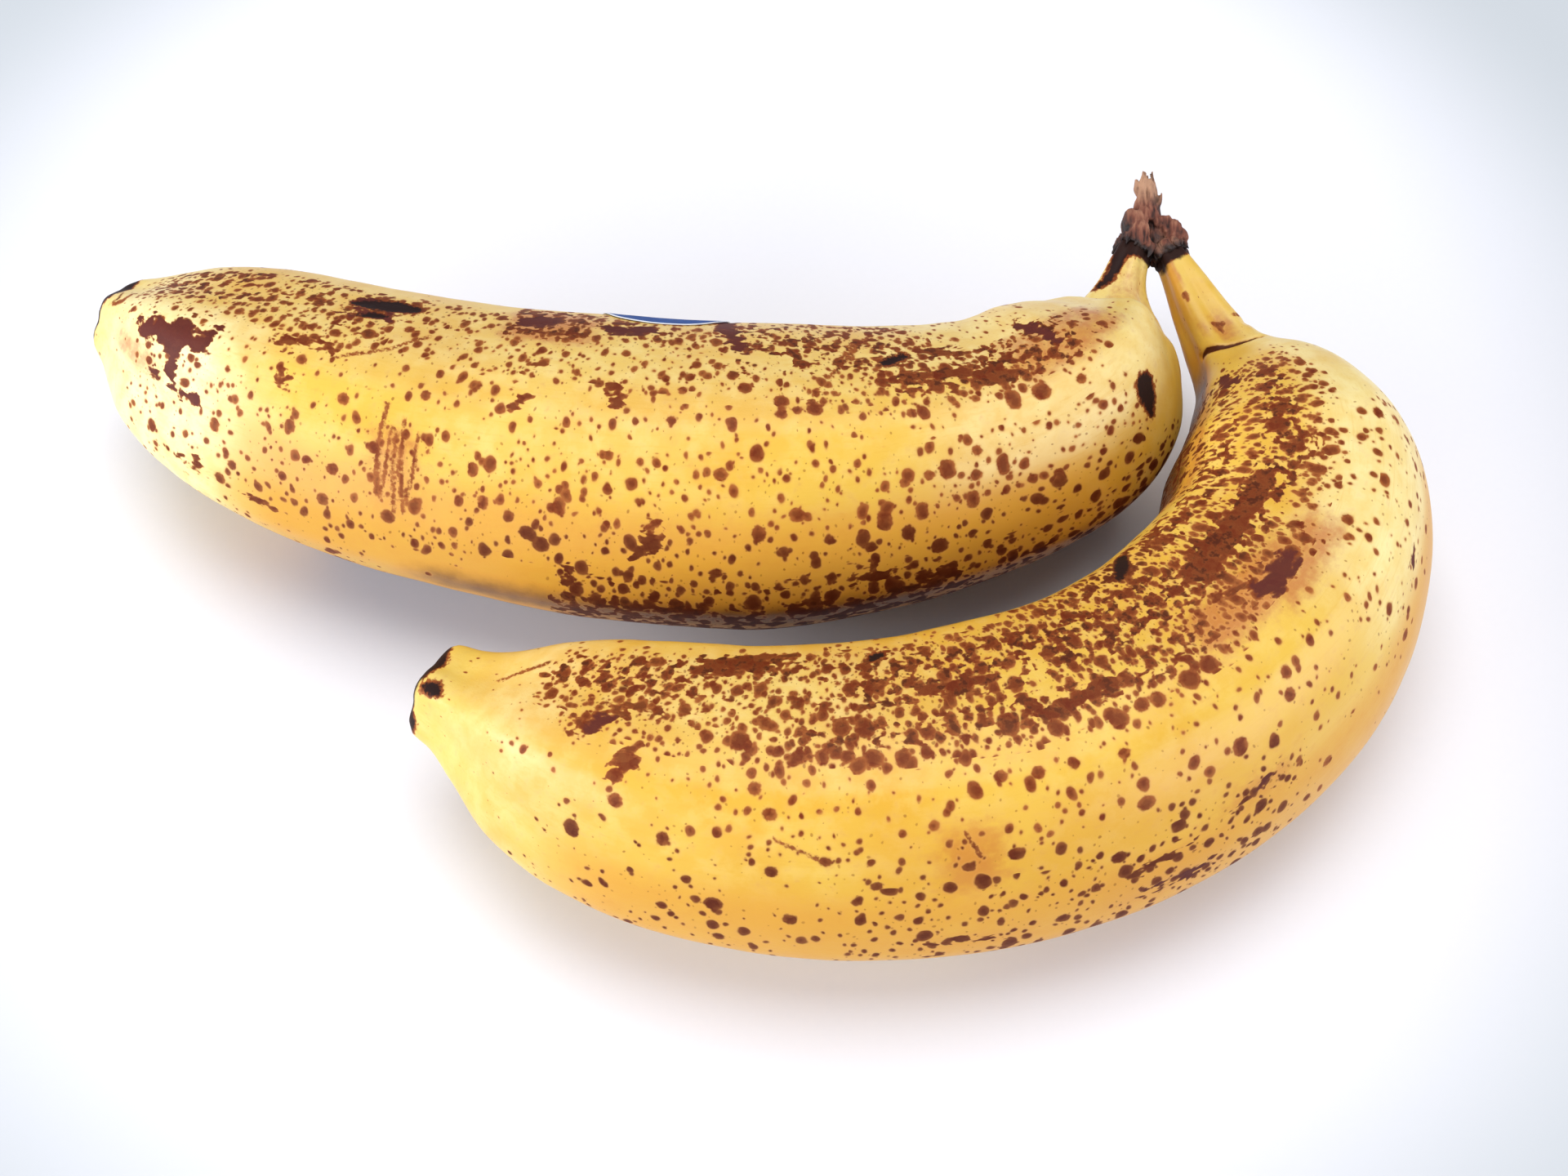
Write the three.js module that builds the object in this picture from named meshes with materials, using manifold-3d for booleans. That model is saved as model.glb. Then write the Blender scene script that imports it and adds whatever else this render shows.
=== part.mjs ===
// A pair of ripe bananas that still hang together at their crown, lying on their sides on a table.
//
// Millimetres, +Z up. The origin is on the table under the middle of the pair, +X runs along the
// pair towards the stalk end, and +Y runs towards the side the crown is on.
//
// Each fruit is one solid: a round, five-ridged section swept along a bent centreline, from the
// narrow pedicel at the crown, over the shoulder and the body, to the nub where the flower was.
// The crown is the dried piece of stalk that both pedicels grew out of, and a plain sticker sits
// on the far side of the rear fruit.

import * as THREE from 'three';
import { mergeVertices } from 'three/addons/utils/BufferGeometryUtils.js';
import Module from 'manifold-3d';

const wasm = await Module();
wasm.setup();

// ---------------------------------------------------------------- driving dimensions

const GAP = 0.3; // clearance between faces that meet
const RIDGES = 5; // a banana has five faces
const SIDES = 40; // facets around a fruit
const STEP = 3.6; // longest stretch between two sections of a fruit
const TABLE = 0; // height of the surface that the fruits lie on

// start and heading: where the pedicel leaves the crown, and which way, as seen from above.
// arcs: [length, turn in degrees] of the centreline, one after another, from crown to nub.
// crownHeight, bodyHeight: of the centreline over the table, at the crown and along the body.
// radii: [distance along the fruit, mean radius].
// firstRidge: direction of one ridge, in degrees from the outer side over the top.
const FRONT_FRUIT = {
  start: [62.4, 47.0],
  heading: -69,
  arcs: [[16, 7.5], [10, -6.5], [35, -54], [38, -37], [77, -52], [10, 0]],
  crownHeight: 24,
  bodyHeight: 20,
  radii: [
    [0, 2.3], [11, 3.8], [17, 5.3], [20, 6.5], [25, 10.3], [31, 14.0], [41, 17.6], [55, 18.6],
    [73, 19.8], [103, 20.1], [128, 19.4], [146, 18.0], [159, 15.8], [168, 12.7], [175, 8.8],
    [180, 6.6], [183, 6.0], [184, 5.3],
  ],
  firstRidge: 64,
};

const BACK_FRUIT = {
  start: [57.2, 47.6],
  heading: -115.5,
  arcs: [[10, 13.5], [34, -60], [36, -20.5], [48, -15], [35, -16], [12, 0]],
  crownHeight: 24.5,
  bodyHeight: 20.4,
  radii: [
    [0, 2.4], [6, 3.3], [11, 6.1], [14, 8.9], [18, 11.4], [23, 14.4], [30, 16.5], [41, 17.3],
    [57, 19.3], [77, 20.9], [95, 20.7], [115, 19.7], [133, 18.7], [145, 17.3], [154, 15.2],
    [161, 12.6], [166, 9.7], [170, 7.2], [173, 5.6], [174, 4.8],
  ],
  firstRidge: 73,
};

// The sticker is a rounded patch, measured along and around the rear fruit.
const STICKER = {
  along: 89,
  around: 158, // degrees from the outer side over the top
  halfLength: 10.5,
  halfWidth: 9,
  thickness: 0.4,
  corner: 2.3, // power of the superellipse: 2 is an ellipse, higher is squarer
  rings: 4,
  spokes: 36,
};

// The crown is a knob, a lobe to each pedicel and the broken stub of the stalk. A lobe bulges at
// its middle point.
const KNOB = { centre: [59.1, 51.6, 25.7], half: [3.3, 2.4, 3.3] };
const FRONT_LOBE = { middle: [62.2, 49.4, 24.9], radii: [2.5, 2.7, 2.3] };
const BACK_LOBE = { middle: [57.9, 50.0, 25.0], radii: [2.3, 2.4, 2.3] };
const STUB_TOP = [59.7, 59.1, 28.2];
const STUB_RADII = [2.5, 1.7, 1.4, 0.9];
const CROWN_SIDES = 14;
const TUBE_STEPS = 8;

// ---------------------------------------------------------------- curves

/** A curve through the stations [x, y] that never overshoots them (Fritsch and Carlson). */
function monotone(stations) {
  const last = stations.length - 1;
  const slopes = [];
  for (let i = 0; i < last; i++) {
    const [x0, y0] = stations[i];
    const [x1, y1] = stations[i + 1];
    slopes.push((y1 - y0) / (x1 - x0));
  }
  const tangents = stations.map((_, i) => {
    const before = slopes[Math.max(i - 1, 0)];
    const after = slopes[Math.min(i, last - 1)];
    return before * after > 0 ? (2 * before * after) / (before + after) : 0;
  });
  tangents[0] = slopes[0];
  tangents[last] = slopes[last - 1];
  return (x) => {
    let i = 0;
    while (i < last - 1 && x > stations[i + 1][0]) i++;
    const [x0, y0] = stations[i];
    const [x1, y1] = stations[i + 1];
    const h = x1 - x0;
    const t = THREE.MathUtils.clamp((x - x0) / h, 0, 1);
    return y0 * (1 + 2 * t) * (1 - t) ** 2 + h * tangents[i] * t * (1 - t) ** 2
      + y1 * t * t * (3 - 2 * t) + h * tangents[i + 1] * t * t * (t - 1);
  };
}

/** Plan position and heading after a distance along a chain of arcs. */
function planAt(fruit, distance) {
  let [x, y] = fruit.start;
  let heading = THREE.MathUtils.degToRad(fruit.heading);
  let left = distance;
  for (const [length, turn] of fruit.arcs) {
    const run = Math.min(left, length);
    const bend = THREE.MathUtils.degToRad(turn) * run / length;
    const chord = bend ? run * Math.sin(bend / 2) / (bend / 2) : run;
    x += chord * Math.cos(heading + bend / 2);
    y += chord * Math.sin(heading + bend / 2);
    heading += bend;
    left -= run;
    if (left <= 0) break;
  }
  return { x, y, heading };
}

/** Everything that describes a fruit at a distance along it: centre, directions and radius. */
function fruitShape(fruit) {
  const radius = monotone(fruit.radii);
  const end = fruit.radii.at(-1)[0];
  const neck = fruit.arcs[0][0] + 4;
  const heightAt = (s) => THREE.MathUtils.lerp(
    fruit.crownHeight, fruit.bodyHeight, THREE.MathUtils.smoothstep(s, 0, neck));
  const at = (s) => {
    const { x, y, heading } = planAt(fruit, s);
    const rise = heightAt(s + 0.5) - heightAt(s - 0.5);
    const ahead = new THREE.Vector3(Math.cos(heading), Math.sin(heading), rise).normalize();
    const out = new THREE.Vector3(-Math.sin(heading), Math.cos(heading), 0);
    const up = new THREE.Vector3().crossVectors(ahead, out);
    return { centre: new THREE.Vector3(x, y, heightAt(s)), ahead, out, up };
  };
  /** The ridges stand out most on the pedicel and towards the nub. */
  const ridgeAt = (s) => 0.028
    + 0.045 * (1 - THREE.MathUtils.smoothstep(s, 8, 30))
    + 0.04 * THREE.MathUtils.smoothstep(s, end - 45, end - 8);
  /** A point on the skin, or lift above it; around is in degrees from the outer side. */
  const skin = (s, around, lift = 0) => {
    const { centre, out, up } = at(s);
    const ridge = Math.cos(THREE.MathUtils.degToRad(RIDGES * (around - fruit.firstRidge)));
    const r = radius(s) * (1 + ridgeAt(s) * ridge) + lift;
    const a = THREE.MathUtils.degToRad(around);
    return centre.clone().addScaledVector(out, r * Math.cos(a)).addScaledVector(up, r * Math.sin(a));
  };
  return { at, skin, radius, end };
}

// ---------------------------------------------------------------- solids

/** A closed geometry from rings of points, closed at both ends by a fan to a centre point. */
function loft(rings, firstCentre, lastCentre) {
  const count = rings[0].length;
  const points = [...rings.flat(), firstCentre, lastCentre];
  const first = points.length - 2;
  const last = points.length - 1;
  const faces = [];
  for (let i = 0; i < count; i++) {
    const j = (i + 1) % count;
    for (let k = 0; k < rings.length - 1; k++) {
      const a = k * count;
      const b = a + count;
      faces.push(a + i, a + j, b + j, a + i, b + j, b + i);
    }
    const top = (rings.length - 1) * count;
    faces.push(first, j, i, last, top + i, top + j);
  }
  const geometry = new THREE.BufferGeometry();
  geometry.setAttribute('position', new THREE.Float32BufferAttribute(
    points.flatMap((p) => p.toArray()), 3));
  geometry.setIndex(faces);
  return geometry;
}

/** Sections at every station, and between them no further apart than STEP. */
function sectionPlaces(stations) {
  const places = [stations[0][0]];
  for (let i = 1; i < stations.length; i++) {
    const [from, to] = [stations[i - 1][0], stations[i][0]];
    const parts = Math.ceil((to - from) / STEP);
    for (let k = 1; k <= parts; k++) places.push(from + (to - from) * k / parts);
  }
  return places;
}

function fruitGeometry(fruit) {
  const shape = fruitShape(fruit);
  const rings = sectionPlaces(fruit.radii).map((s) => Array.from(
    { length: SIDES }, (_, i) => shape.skin(s, i * 360 / SIDES)));
  const tip = shape.at(shape.end);
  return loft(rings, shape.at(0).centre, tip.centre.clone().addScaledVector(tip.ahead, 0.8));
}

/** A round tube along points, its radius going through the given radii from end to end. */
function tube(points, radii) {
  const curve = new THREE.CatmullRomCurve3(points);
  const frames = curve.computeFrenetFrames(TUBE_STEPS, false);
  const radius = monotone(radii.map((r, i) => [i / (radii.length - 1), r]));
  const rings = [];
  for (let k = 0; k <= TUBE_STEPS; k++) {
    const centre = curve.getPointAt(k / TUBE_STEPS);
    const r = radius(k / TUBE_STEPS);
    rings.push(Array.from({ length: CROWN_SIDES }, (_, i) => {
      const a = i * 2 * Math.PI / CROWN_SIDES;
      return centre.clone()
        .addScaledVector(frames.normals[k], r * Math.cos(a))
        .addScaledVector(frames.binormals[k], r * Math.sin(a));
    }));
  }
  return loft(rings, curve.getPointAt(0), curve.getPointAt(1));
}

function toManifold(geometry) {
  const bare = geometry.clone();
  bare.deleteAttribute('normal');
  bare.deleteAttribute('uv');
  const merged = mergeVertices(bare, 1e-4);
  return new wasm.Manifold(new wasm.Mesh({
    numProp: 3,
    vertProperties: new Float32Array(merged.attributes.position.array),
    triVerts: new Uint32Array(merged.index.array),
  }));
}

function toGeometry(manifold) {
  const mesh = manifold.getMesh();
  const geometry = new THREE.BufferGeometry();
  geometry.setAttribute('position', new THREE.Float32BufferAttribute(mesh.vertProperties, 3));
  geometry.setIndex(Array.from(mesh.triVerts));
  geometry.computeVertexNormals();
  return geometry;
}

/** What stays of a solid on the far side of the plane through point, where direction points. */
function keepBeyond(solid, point, direction) {
  const size = 400; // larger than the pair, so that the block takes in all of that side
  const block = new THREE.BoxGeometry(size, size, size).translate(0, 0, size / 2)
    .applyQuaternion(new THREE.Quaternion().setFromUnitVectors(new THREE.Vector3(0, 0, 1), direction))
    .translate(point.x, point.y, point.z);
  return solid.intersect(toManifold(block));
}

/** A fruit with its underside pressed flat on the table. */
function fruitOnTable(fruit) {
  const table = new THREE.Vector3(0, 0, TABLE);
  return toGeometry(keepBeyond(toManifold(fruitGeometry(fruit)), table, new THREE.Vector3(0, 0, 1)));
}

// ---------------------------------------------------------------- the crown and the sticker

/** The lobe that meets the cut face of one pedicel and runs into the knob. */
function lobe(fruit, { middle, radii }) {
  const { centre, ahead } = fruitShape(fruit).at(0);
  const route = [centre, new THREE.Vector3(...middle), new THREE.Vector3(...KNOB.centre)];
  const back = ahead.clone().negate();
  return keepBeyond(toManifold(tube(route, radii)), centre.clone().addScaledVector(back, GAP), back);
}

function crownGeometry() {
  const knobCentre = new THREE.Vector3(...KNOB.centre);
  const stubTop = new THREE.Vector3(...STUB_TOP);
  const knob = new THREE.IcosahedronGeometry(1, 3).scale(...KNOB.half).translate(...KNOB.centre);
  const stub = tube([knobCentre, knobCentre.clone().lerp(stubTop, 0.5), stubTop], STUB_RADII);
  const stalk = toManifold(knob).add(toManifold(stub));
  return toGeometry(stalk.add(lobe(FRONT_FRUIT, FRONT_LOBE)).add(lobe(BACK_FRUIT, BACK_LOBE)));
}

/** A patch that follows the rear fruit, GAP above its skin. */
function stickerGeometry() {
  const { skin, radius } = fruitShape(BACK_FRUIT);
  const { along, around, halfLength, halfWidth, thickness, corner, rings, spokes } = STICKER;
  const degreesPerMm = 180 / (Math.PI * radius(along));
  const pointAt = (share, spoke, lift) => {
    const a = spoke * 2 * Math.PI / spokes;
    const c = Math.cos(a);
    const s = Math.sin(a);
    const reach = share / (Math.abs(c) ** corner + Math.abs(s) ** corner) ** (1 / corner);
    return skin(along + reach * c * halfLength, around - reach * s * halfWidth * degreesPerMm, lift);
  };
  const ring = (share, lift) => Array.from({ length: spokes }, (_, i) => pointAt(share, i, lift));
  const shares = Array.from({ length: rings }, (_, k) => (k + 1) / rings);
  const under = shares.map((share) => ring(share, GAP));
  const over = shares.map((share) => ring(share, GAP + thickness)).reverse();
  return loft([...under, ...over], pointAt(0, 0, GAP), pointAt(0, 0, GAP + thickness));
}

// ---------------------------------------------------------------- materials and scene graph

const SKIN = new THREE.MeshStandardMaterial({ color: 0xe3b53c, roughness: 0.5, metalness: 0 });
const DRY_STALK = new THREE.MeshStandardMaterial({ color: 0x5d3626, roughness: 0.85, metalness: 0 });
const PAPER = new THREE.MeshStandardMaterial({ color: 0x2c4f9c, roughness: 0.4, metalness: 0 });

function named(name, geometry, material) {
  const mesh = new THREE.Mesh(geometry, material);
  mesh.name = name;
  return mesh;
}

const pair = new THREE.Group();
pair.add(
  named('banana_front', fruitOnTable(FRONT_FRUIT), SKIN),
  named('banana_back', fruitOnTable(BACK_FRUIT), SKIN),
  named('crown', crownGeometry(), DRY_STALK),
  named('sticker', stickerGeometry(), PAPER),
);

export default pair;
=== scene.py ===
# %% [markdown]
# # Two ripe bananas, joined at the crown
#
# This lesson dresses a packed CAD part in Blender. The part is a pair of very ripe bananas that grew on
# one crown, with a blank paper sticker on the far side of the back one. The CAD model gives the true
# shapes with few faces. Here each fruit is built again from the same few numbers with a fine mesh, and
# gets its freckles, bruises, fibres and dried ends.
#
# Lengths are in millimetres while a piece is being shaped, because that is how a fruit is measured, and
# they become metres when its mesh is made.

import math

import bmesh
import bpy
import numpy as np
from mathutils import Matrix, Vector, geometry, noise
from mathutils.bvhtree import BVHTree


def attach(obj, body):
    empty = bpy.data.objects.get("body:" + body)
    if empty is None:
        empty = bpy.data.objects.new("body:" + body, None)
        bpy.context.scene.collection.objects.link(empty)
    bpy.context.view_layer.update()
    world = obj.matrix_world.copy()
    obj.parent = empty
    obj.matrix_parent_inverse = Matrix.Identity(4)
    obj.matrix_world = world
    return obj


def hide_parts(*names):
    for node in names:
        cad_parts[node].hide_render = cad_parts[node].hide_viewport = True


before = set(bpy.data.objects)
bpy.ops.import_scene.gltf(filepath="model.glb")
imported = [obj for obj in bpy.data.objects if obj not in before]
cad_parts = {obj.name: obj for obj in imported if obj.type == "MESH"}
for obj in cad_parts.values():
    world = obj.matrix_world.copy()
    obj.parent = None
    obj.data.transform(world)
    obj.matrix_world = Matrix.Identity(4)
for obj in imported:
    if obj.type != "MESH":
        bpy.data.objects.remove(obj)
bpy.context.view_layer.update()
MM = 0.001
print("CAD nodes:", sorted(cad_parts))

# %% [markdown]
# ## The camera
#
# The fruits are seen by someone standing over the table: from straight in front, looking steeply down
# from close by. A near camera matters, because it makes the front fruit look larger than the back one.
# The place of the camera is worked out from an elevation and a distance, and a constraint isn't needed
# to aim it.

# %% The camera
LOOK_AT = Vector((5.8, 4.4, 0.0)) * MM
ELEVATION = math.radians(58.0)
DISTANCE = 292.0 * MM
ACROSS_VIEW = math.radians(42.7)
FULL_FRAME = 36.0

camera_data = bpy.data.cameras.new("table_view")
camera_data.sensor_width = FULL_FRAME
camera_data.lens = FULL_FRAME / 2 / math.tan(ACROSS_VIEW / 2)
camera_data.clip_start = 10.0 * MM
camera = bpy.data.objects.new("table_view", camera_data)
bpy.context.scene.collection.objects.link(camera)
toward_camera = Vector((0.0, -math.cos(ELEVATION), math.sin(ELEVATION)))
camera.location = LOOK_AT + DISTANCE * toward_camera
camera.rotation_euler = toward_camera.to_track_quat("Z", "Y").to_euler()
bpy.context.scene.camera = camera
print("camera at", [round(value, 4) for value in camera.location], "lens", round(camera_data.lens, 2))

# %% [markdown]
# ## Smooth steps and smooth curves
#
# Two small tools shape everything below. A smooth step goes from 0 to 1 without a corner. A monotone
# curve passes through a few measured points and never overshoots them, so a fruit's girth has no bumps
# that nobody put there.


# %% Smooth steps and smooth curves
def smoothstep(value, low, high):
    share = np.clip((value - low) / (high - low), 0.0, 1.0)
    return share * share * (3 - 2 * share)


def monotone_curve(points, at):
    """Cubic pieces through the points. Each inner slope is the harmonic mean of the slopes beside it."""
    where, value = np.array(points, float).T
    slope = np.diff(value) / np.diff(where)
    before, after = slope[:-1], slope[1:]
    same_way = before * after > 0
    inner = np.where(same_way, 2 * before * after / np.where(same_way, before + after, 1), 0.0)
    tangent = np.concatenate([slope[:1], inner, slope[-1:]])
    at = np.clip(at, where[0], where[-1])
    piece = np.clip(np.searchsorted(where, at, side="right") - 1, 0, len(slope) - 1)
    width = where[piece + 1] - where[piece]
    t = (at - where[piece]) / width
    return (
        (1 + 2 * t) * (1 - t) ** 2 * value[piece]
        + t * (1 - t) ** 2 * width * tangent[piece]
        + t * t * (3 - 2 * t) * value[piece + 1]
        + t * t * (t - 1) * width * tangent[piece + 1]
    )


print("a quarter of the way, a smooth step stands at", smoothstep(0.25, 0.0, 1.0))

# %% [markdown]
# ## The shape of a banana
#
# A banana is a bent tube with five blunt edges. Its middle line is a chain of arcs lying in a level
# plane, its girth swells from a thin pedicel to a full body and closes at a small blossom end, and its
# five edges are sharpest on the pedicel and near the blossom end. So a fruit needs only these facts:
#
# - where the middle line starts, which way it heads, and its arcs, each a length and a turn in degrees;
# - the height of that line at the crown and along the body;
# - the radius at some distances along it;
# - where the first of the five edges is.
#
# A place on the skin is then two numbers: how far along the fruit, in millimetres, and how far around
# it, in degrees. 0 is the outer side of the bend, 90 the top, 180 the inner side and 270 the underside.

# %% The two fruits
FRONT_FRUIT = {
    "start": (62.4, 47.0),
    "heading": -69,
    "arcs": [(16, 7.5), (10, -6.5), (35, -54), (38, -37), (77, -52), (10, 0)],
    "crown_height": 24,
    "body_height": 20,
    "radii": [
        (0, 2.3), (11, 3.8), (17, 5.3), (20, 6.5), (25, 10.3), (31, 14.0), (41, 17.6), (55, 18.6),
        (73, 19.8), (103, 20.1), (128, 19.4), (146, 18.0), (159, 15.8), (168, 12.7), (175, 8.8),
        (180, 6.6), (183, 6.0), (184, 5.3),
    ],
    "first_edge": 64,
}
BACK_FRUIT = {
    "start": (57.2, 47.6),
    "heading": -115.5,
    "arcs": [(10, 13.5), (34, -60), (36, -20.5), (48, -15), (35, -16), (12, 0)],
    "crown_height": 24.5,
    "body_height": 20.4,
    "radii": [
        (0, 2.4), (6, 3.3), (11, 6.1), (14, 8.9), (18, 11.4), (23, 14.4), (30, 16.5), (41, 17.3),
        (57, 19.3), (77, 20.9), (95, 20.7), (115, 19.7), (133, 18.7), (145, 17.3), (154, 15.2),
        (161, 12.6), (166, 9.7), (170, 7.2), (173, 5.6), (174, 4.8),
    ],
    "first_edge": 73,
}
EDGES = 5


def length_of(fruit):
    return fruit["radii"][-1][0]


def girth_at(fruit, along):
    return monotone_curve(fruit["radii"], along)


def middle_line(fruit, along):
    """The place and the heading of the middle line, adding up what has been run of each arc."""
    x, y = fruit["start"]
    heading = math.radians(fruit["heading"])
    begin = 0.0
    for length, degrees in fruit["arcs"]:
        run = np.clip(along - begin, 0.0, length)
        turn = math.radians(degrees) * run / length
        chord = run * np.sinc(turn / 2 / math.pi)
        x = x + chord * np.cos(heading + turn / 2)
        y = y + chord * np.sin(heading + turn / 2)
        heading = heading + turn
        begin += length
    return x, y, heading


def height_at(fruit, along):
    neck = fruit["arcs"][0][0] + 4
    rise = fruit["body_height"] - fruit["crown_height"]
    return fruit["crown_height"] + rise * smoothstep(along, 0.0, neck)


def directions(fruit, along):
    """Three unit directions at a place: ahead along the fruit, out of its bend, and up."""
    heading = middle_line(fruit, along)[2]
    climb = height_at(fruit, along + 0.5) - height_at(fruit, along - 0.5)
    ahead = np.stack([np.cos(heading), np.sin(heading), climb], axis=-1)
    ahead /= np.linalg.norm(ahead, axis=-1, keepdims=True)
    out = np.stack([-np.sin(heading), np.cos(heading), np.zeros_like(heading)], axis=-1)
    return ahead, out, np.cross(ahead, out)


def edge_depth(fruit, along):
    """How far the five edges stand out, as a share of the radius."""
    end = length_of(fruit)
    return 0.028 + 0.045 * (1 - smoothstep(along, 8, 30)) + 0.04 * smoothstep(along, end - 45, end - 8)


def skin_point(fruit, along, around, lift=0.0, shrink=1.0, push=0.0):
    """A point of the skin, raised by lift. Shrink and push make the rings of the cap at the blossom end."""
    x, y, _ = middle_line(fruit, along)
    ahead, out, up = directions(fruit, along)
    centre = np.stack([x, y, height_at(fruit, along)], axis=-1) + np.expand_dims(push, -1) * ahead
    angle = np.radians(around)
    edges = np.cos(EDGES * (angle - math.radians(fruit["first_edge"])))
    radius = (girth_at(fruit, along) * (1 + edge_depth(fruit, along) * edges) + lift) * shrink
    side = np.cos(angle)[..., None] * out + np.sin(angle)[..., None] * up
    return centre + radius[..., None] * side


print("front fruit", length_of(FRONT_FRUIT), "mm long, back fruit", length_of(BACK_FRUIT), "mm long")

# %% [markdown]
# ## Marks on the skin
#
# Ripe skin carries two kinds of marks. Most are sugar freckles, thousands of them, and no one could
# tell one from another: those are left to a shader. Some are marks that anyone would know the fruit by,
# such as a bruise, a scratch or a large lone spot. Those are strokes: a short path over the skin and a
# half width at each of its points. A stroke gives every vertex the distance to its edge, in
# millimetres, positive inside. That distance changes smoothly from vertex to vertex, so the shader can
# cut a crisp edge out of it that is finer than the mesh.


# %% Strokes and patches
TYPICAL_RADIUS = 19.0
REACH_OF_EDGES = 3.0


def turn_from(around, start):
    """The signed angle from start to around, the short way round."""
    return (around - start + 180.0) % 360.0 - 180.0


def stroke_edge(skin, path):
    """Distance to the edge of one stroke. path holds (along, around, half width) rows."""
    first = path[0][1]
    girth = np.radians(1.0) * skin["girth"]
    inside = np.full(skin["along"].shape, -np.inf)
    across = turn_from(skin["around"], first) * girth
    steps = list(zip(path[:-1], path[1:])) or [(path[0], path[0])]
    for (along_a, around_a, width_a), (along_b, around_b, width_b) in steps:
        step_along = along_b - along_a
        start_across = (around_a - first) * girth
        step_across = (around_b - around_a) * girth
        from_along = skin["along"] - along_a
        from_across = across - start_across
        length_squared = step_along**2 + step_across**2 + 1e-6
        share = np.clip((from_along * step_along + from_across * step_across) / length_squared, 0, 1)
        distance = np.hypot(from_along - share * step_along, from_across - share * step_across)
        inside = np.maximum(inside, width_a + share * (width_b - width_a) - distance)
    return inside


def marks_edge(skin, strokes):
    """Distance to the nearest edge among the strokes, up to as far as any shader looks."""
    inside = np.full(skin["along"].shape, -REACH_OF_EDGES)
    for path in strokes:
        inside = np.maximum(inside, stroke_edge(skin, path))
    return np.clip(inside, -REACH_OF_EDGES, REACH_OF_EDGES)


def spots_as_strokes(spots):
    """A spot is (along, around, half width, extra half height): with the last, it lies across the fruit."""
    degrees_per_mm = 180 / math.pi / TYPICAL_RADIUS
    return [
        [(along, around - tall * degrees_per_mm, width), (along, around + tall * degrees_per_mm, width)]
        for along, around, width, tall in spots
    ]


def patches(skin, rows, soft_along, soft_around):
    """Soft patches: (from along, to along, from around, to around, amount) rows. The strongest wins."""
    amount = np.zeros(skin["along"].shape)
    for along_a, along_b, around_a, around_b, strength in rows:
        middle = (around_a + around_b) / 2
        reach = (around_b - around_a) / 2
        off = np.abs(turn_from(skin["around"], middle))
        here = (
            smoothstep(skin["along"], along_a - soft_along / 2, along_a + soft_along / 2)
            * (1 - smoothstep(skin["along"], along_b - soft_along / 2, along_b + soft_along / 2))
            * (1 - smoothstep(off, reach - soft_around / 2, reach + soft_around / 2))
        )
        amount = np.maximum(amount, strength * here)
    return amount


print("from 350 to 10 degrees is a turn of", turn_from(10.0, 350.0), "degrees")

# %% [markdown]
# ## What each fruit is known by
#
# The front fruit carries its freckles in a broad band along the top, where they run together into brown
# smears, and only lone spots on its face. The back one has a purple bruise by its blossom end, a black
# slit and a black drop, and a bundle of fine scratches. Each list below is one kind of mark, and each
# kind has its own colour and its own sort of edge in the skin material. Freckles and smears are
# densities: where the shader may put its own.

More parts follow.
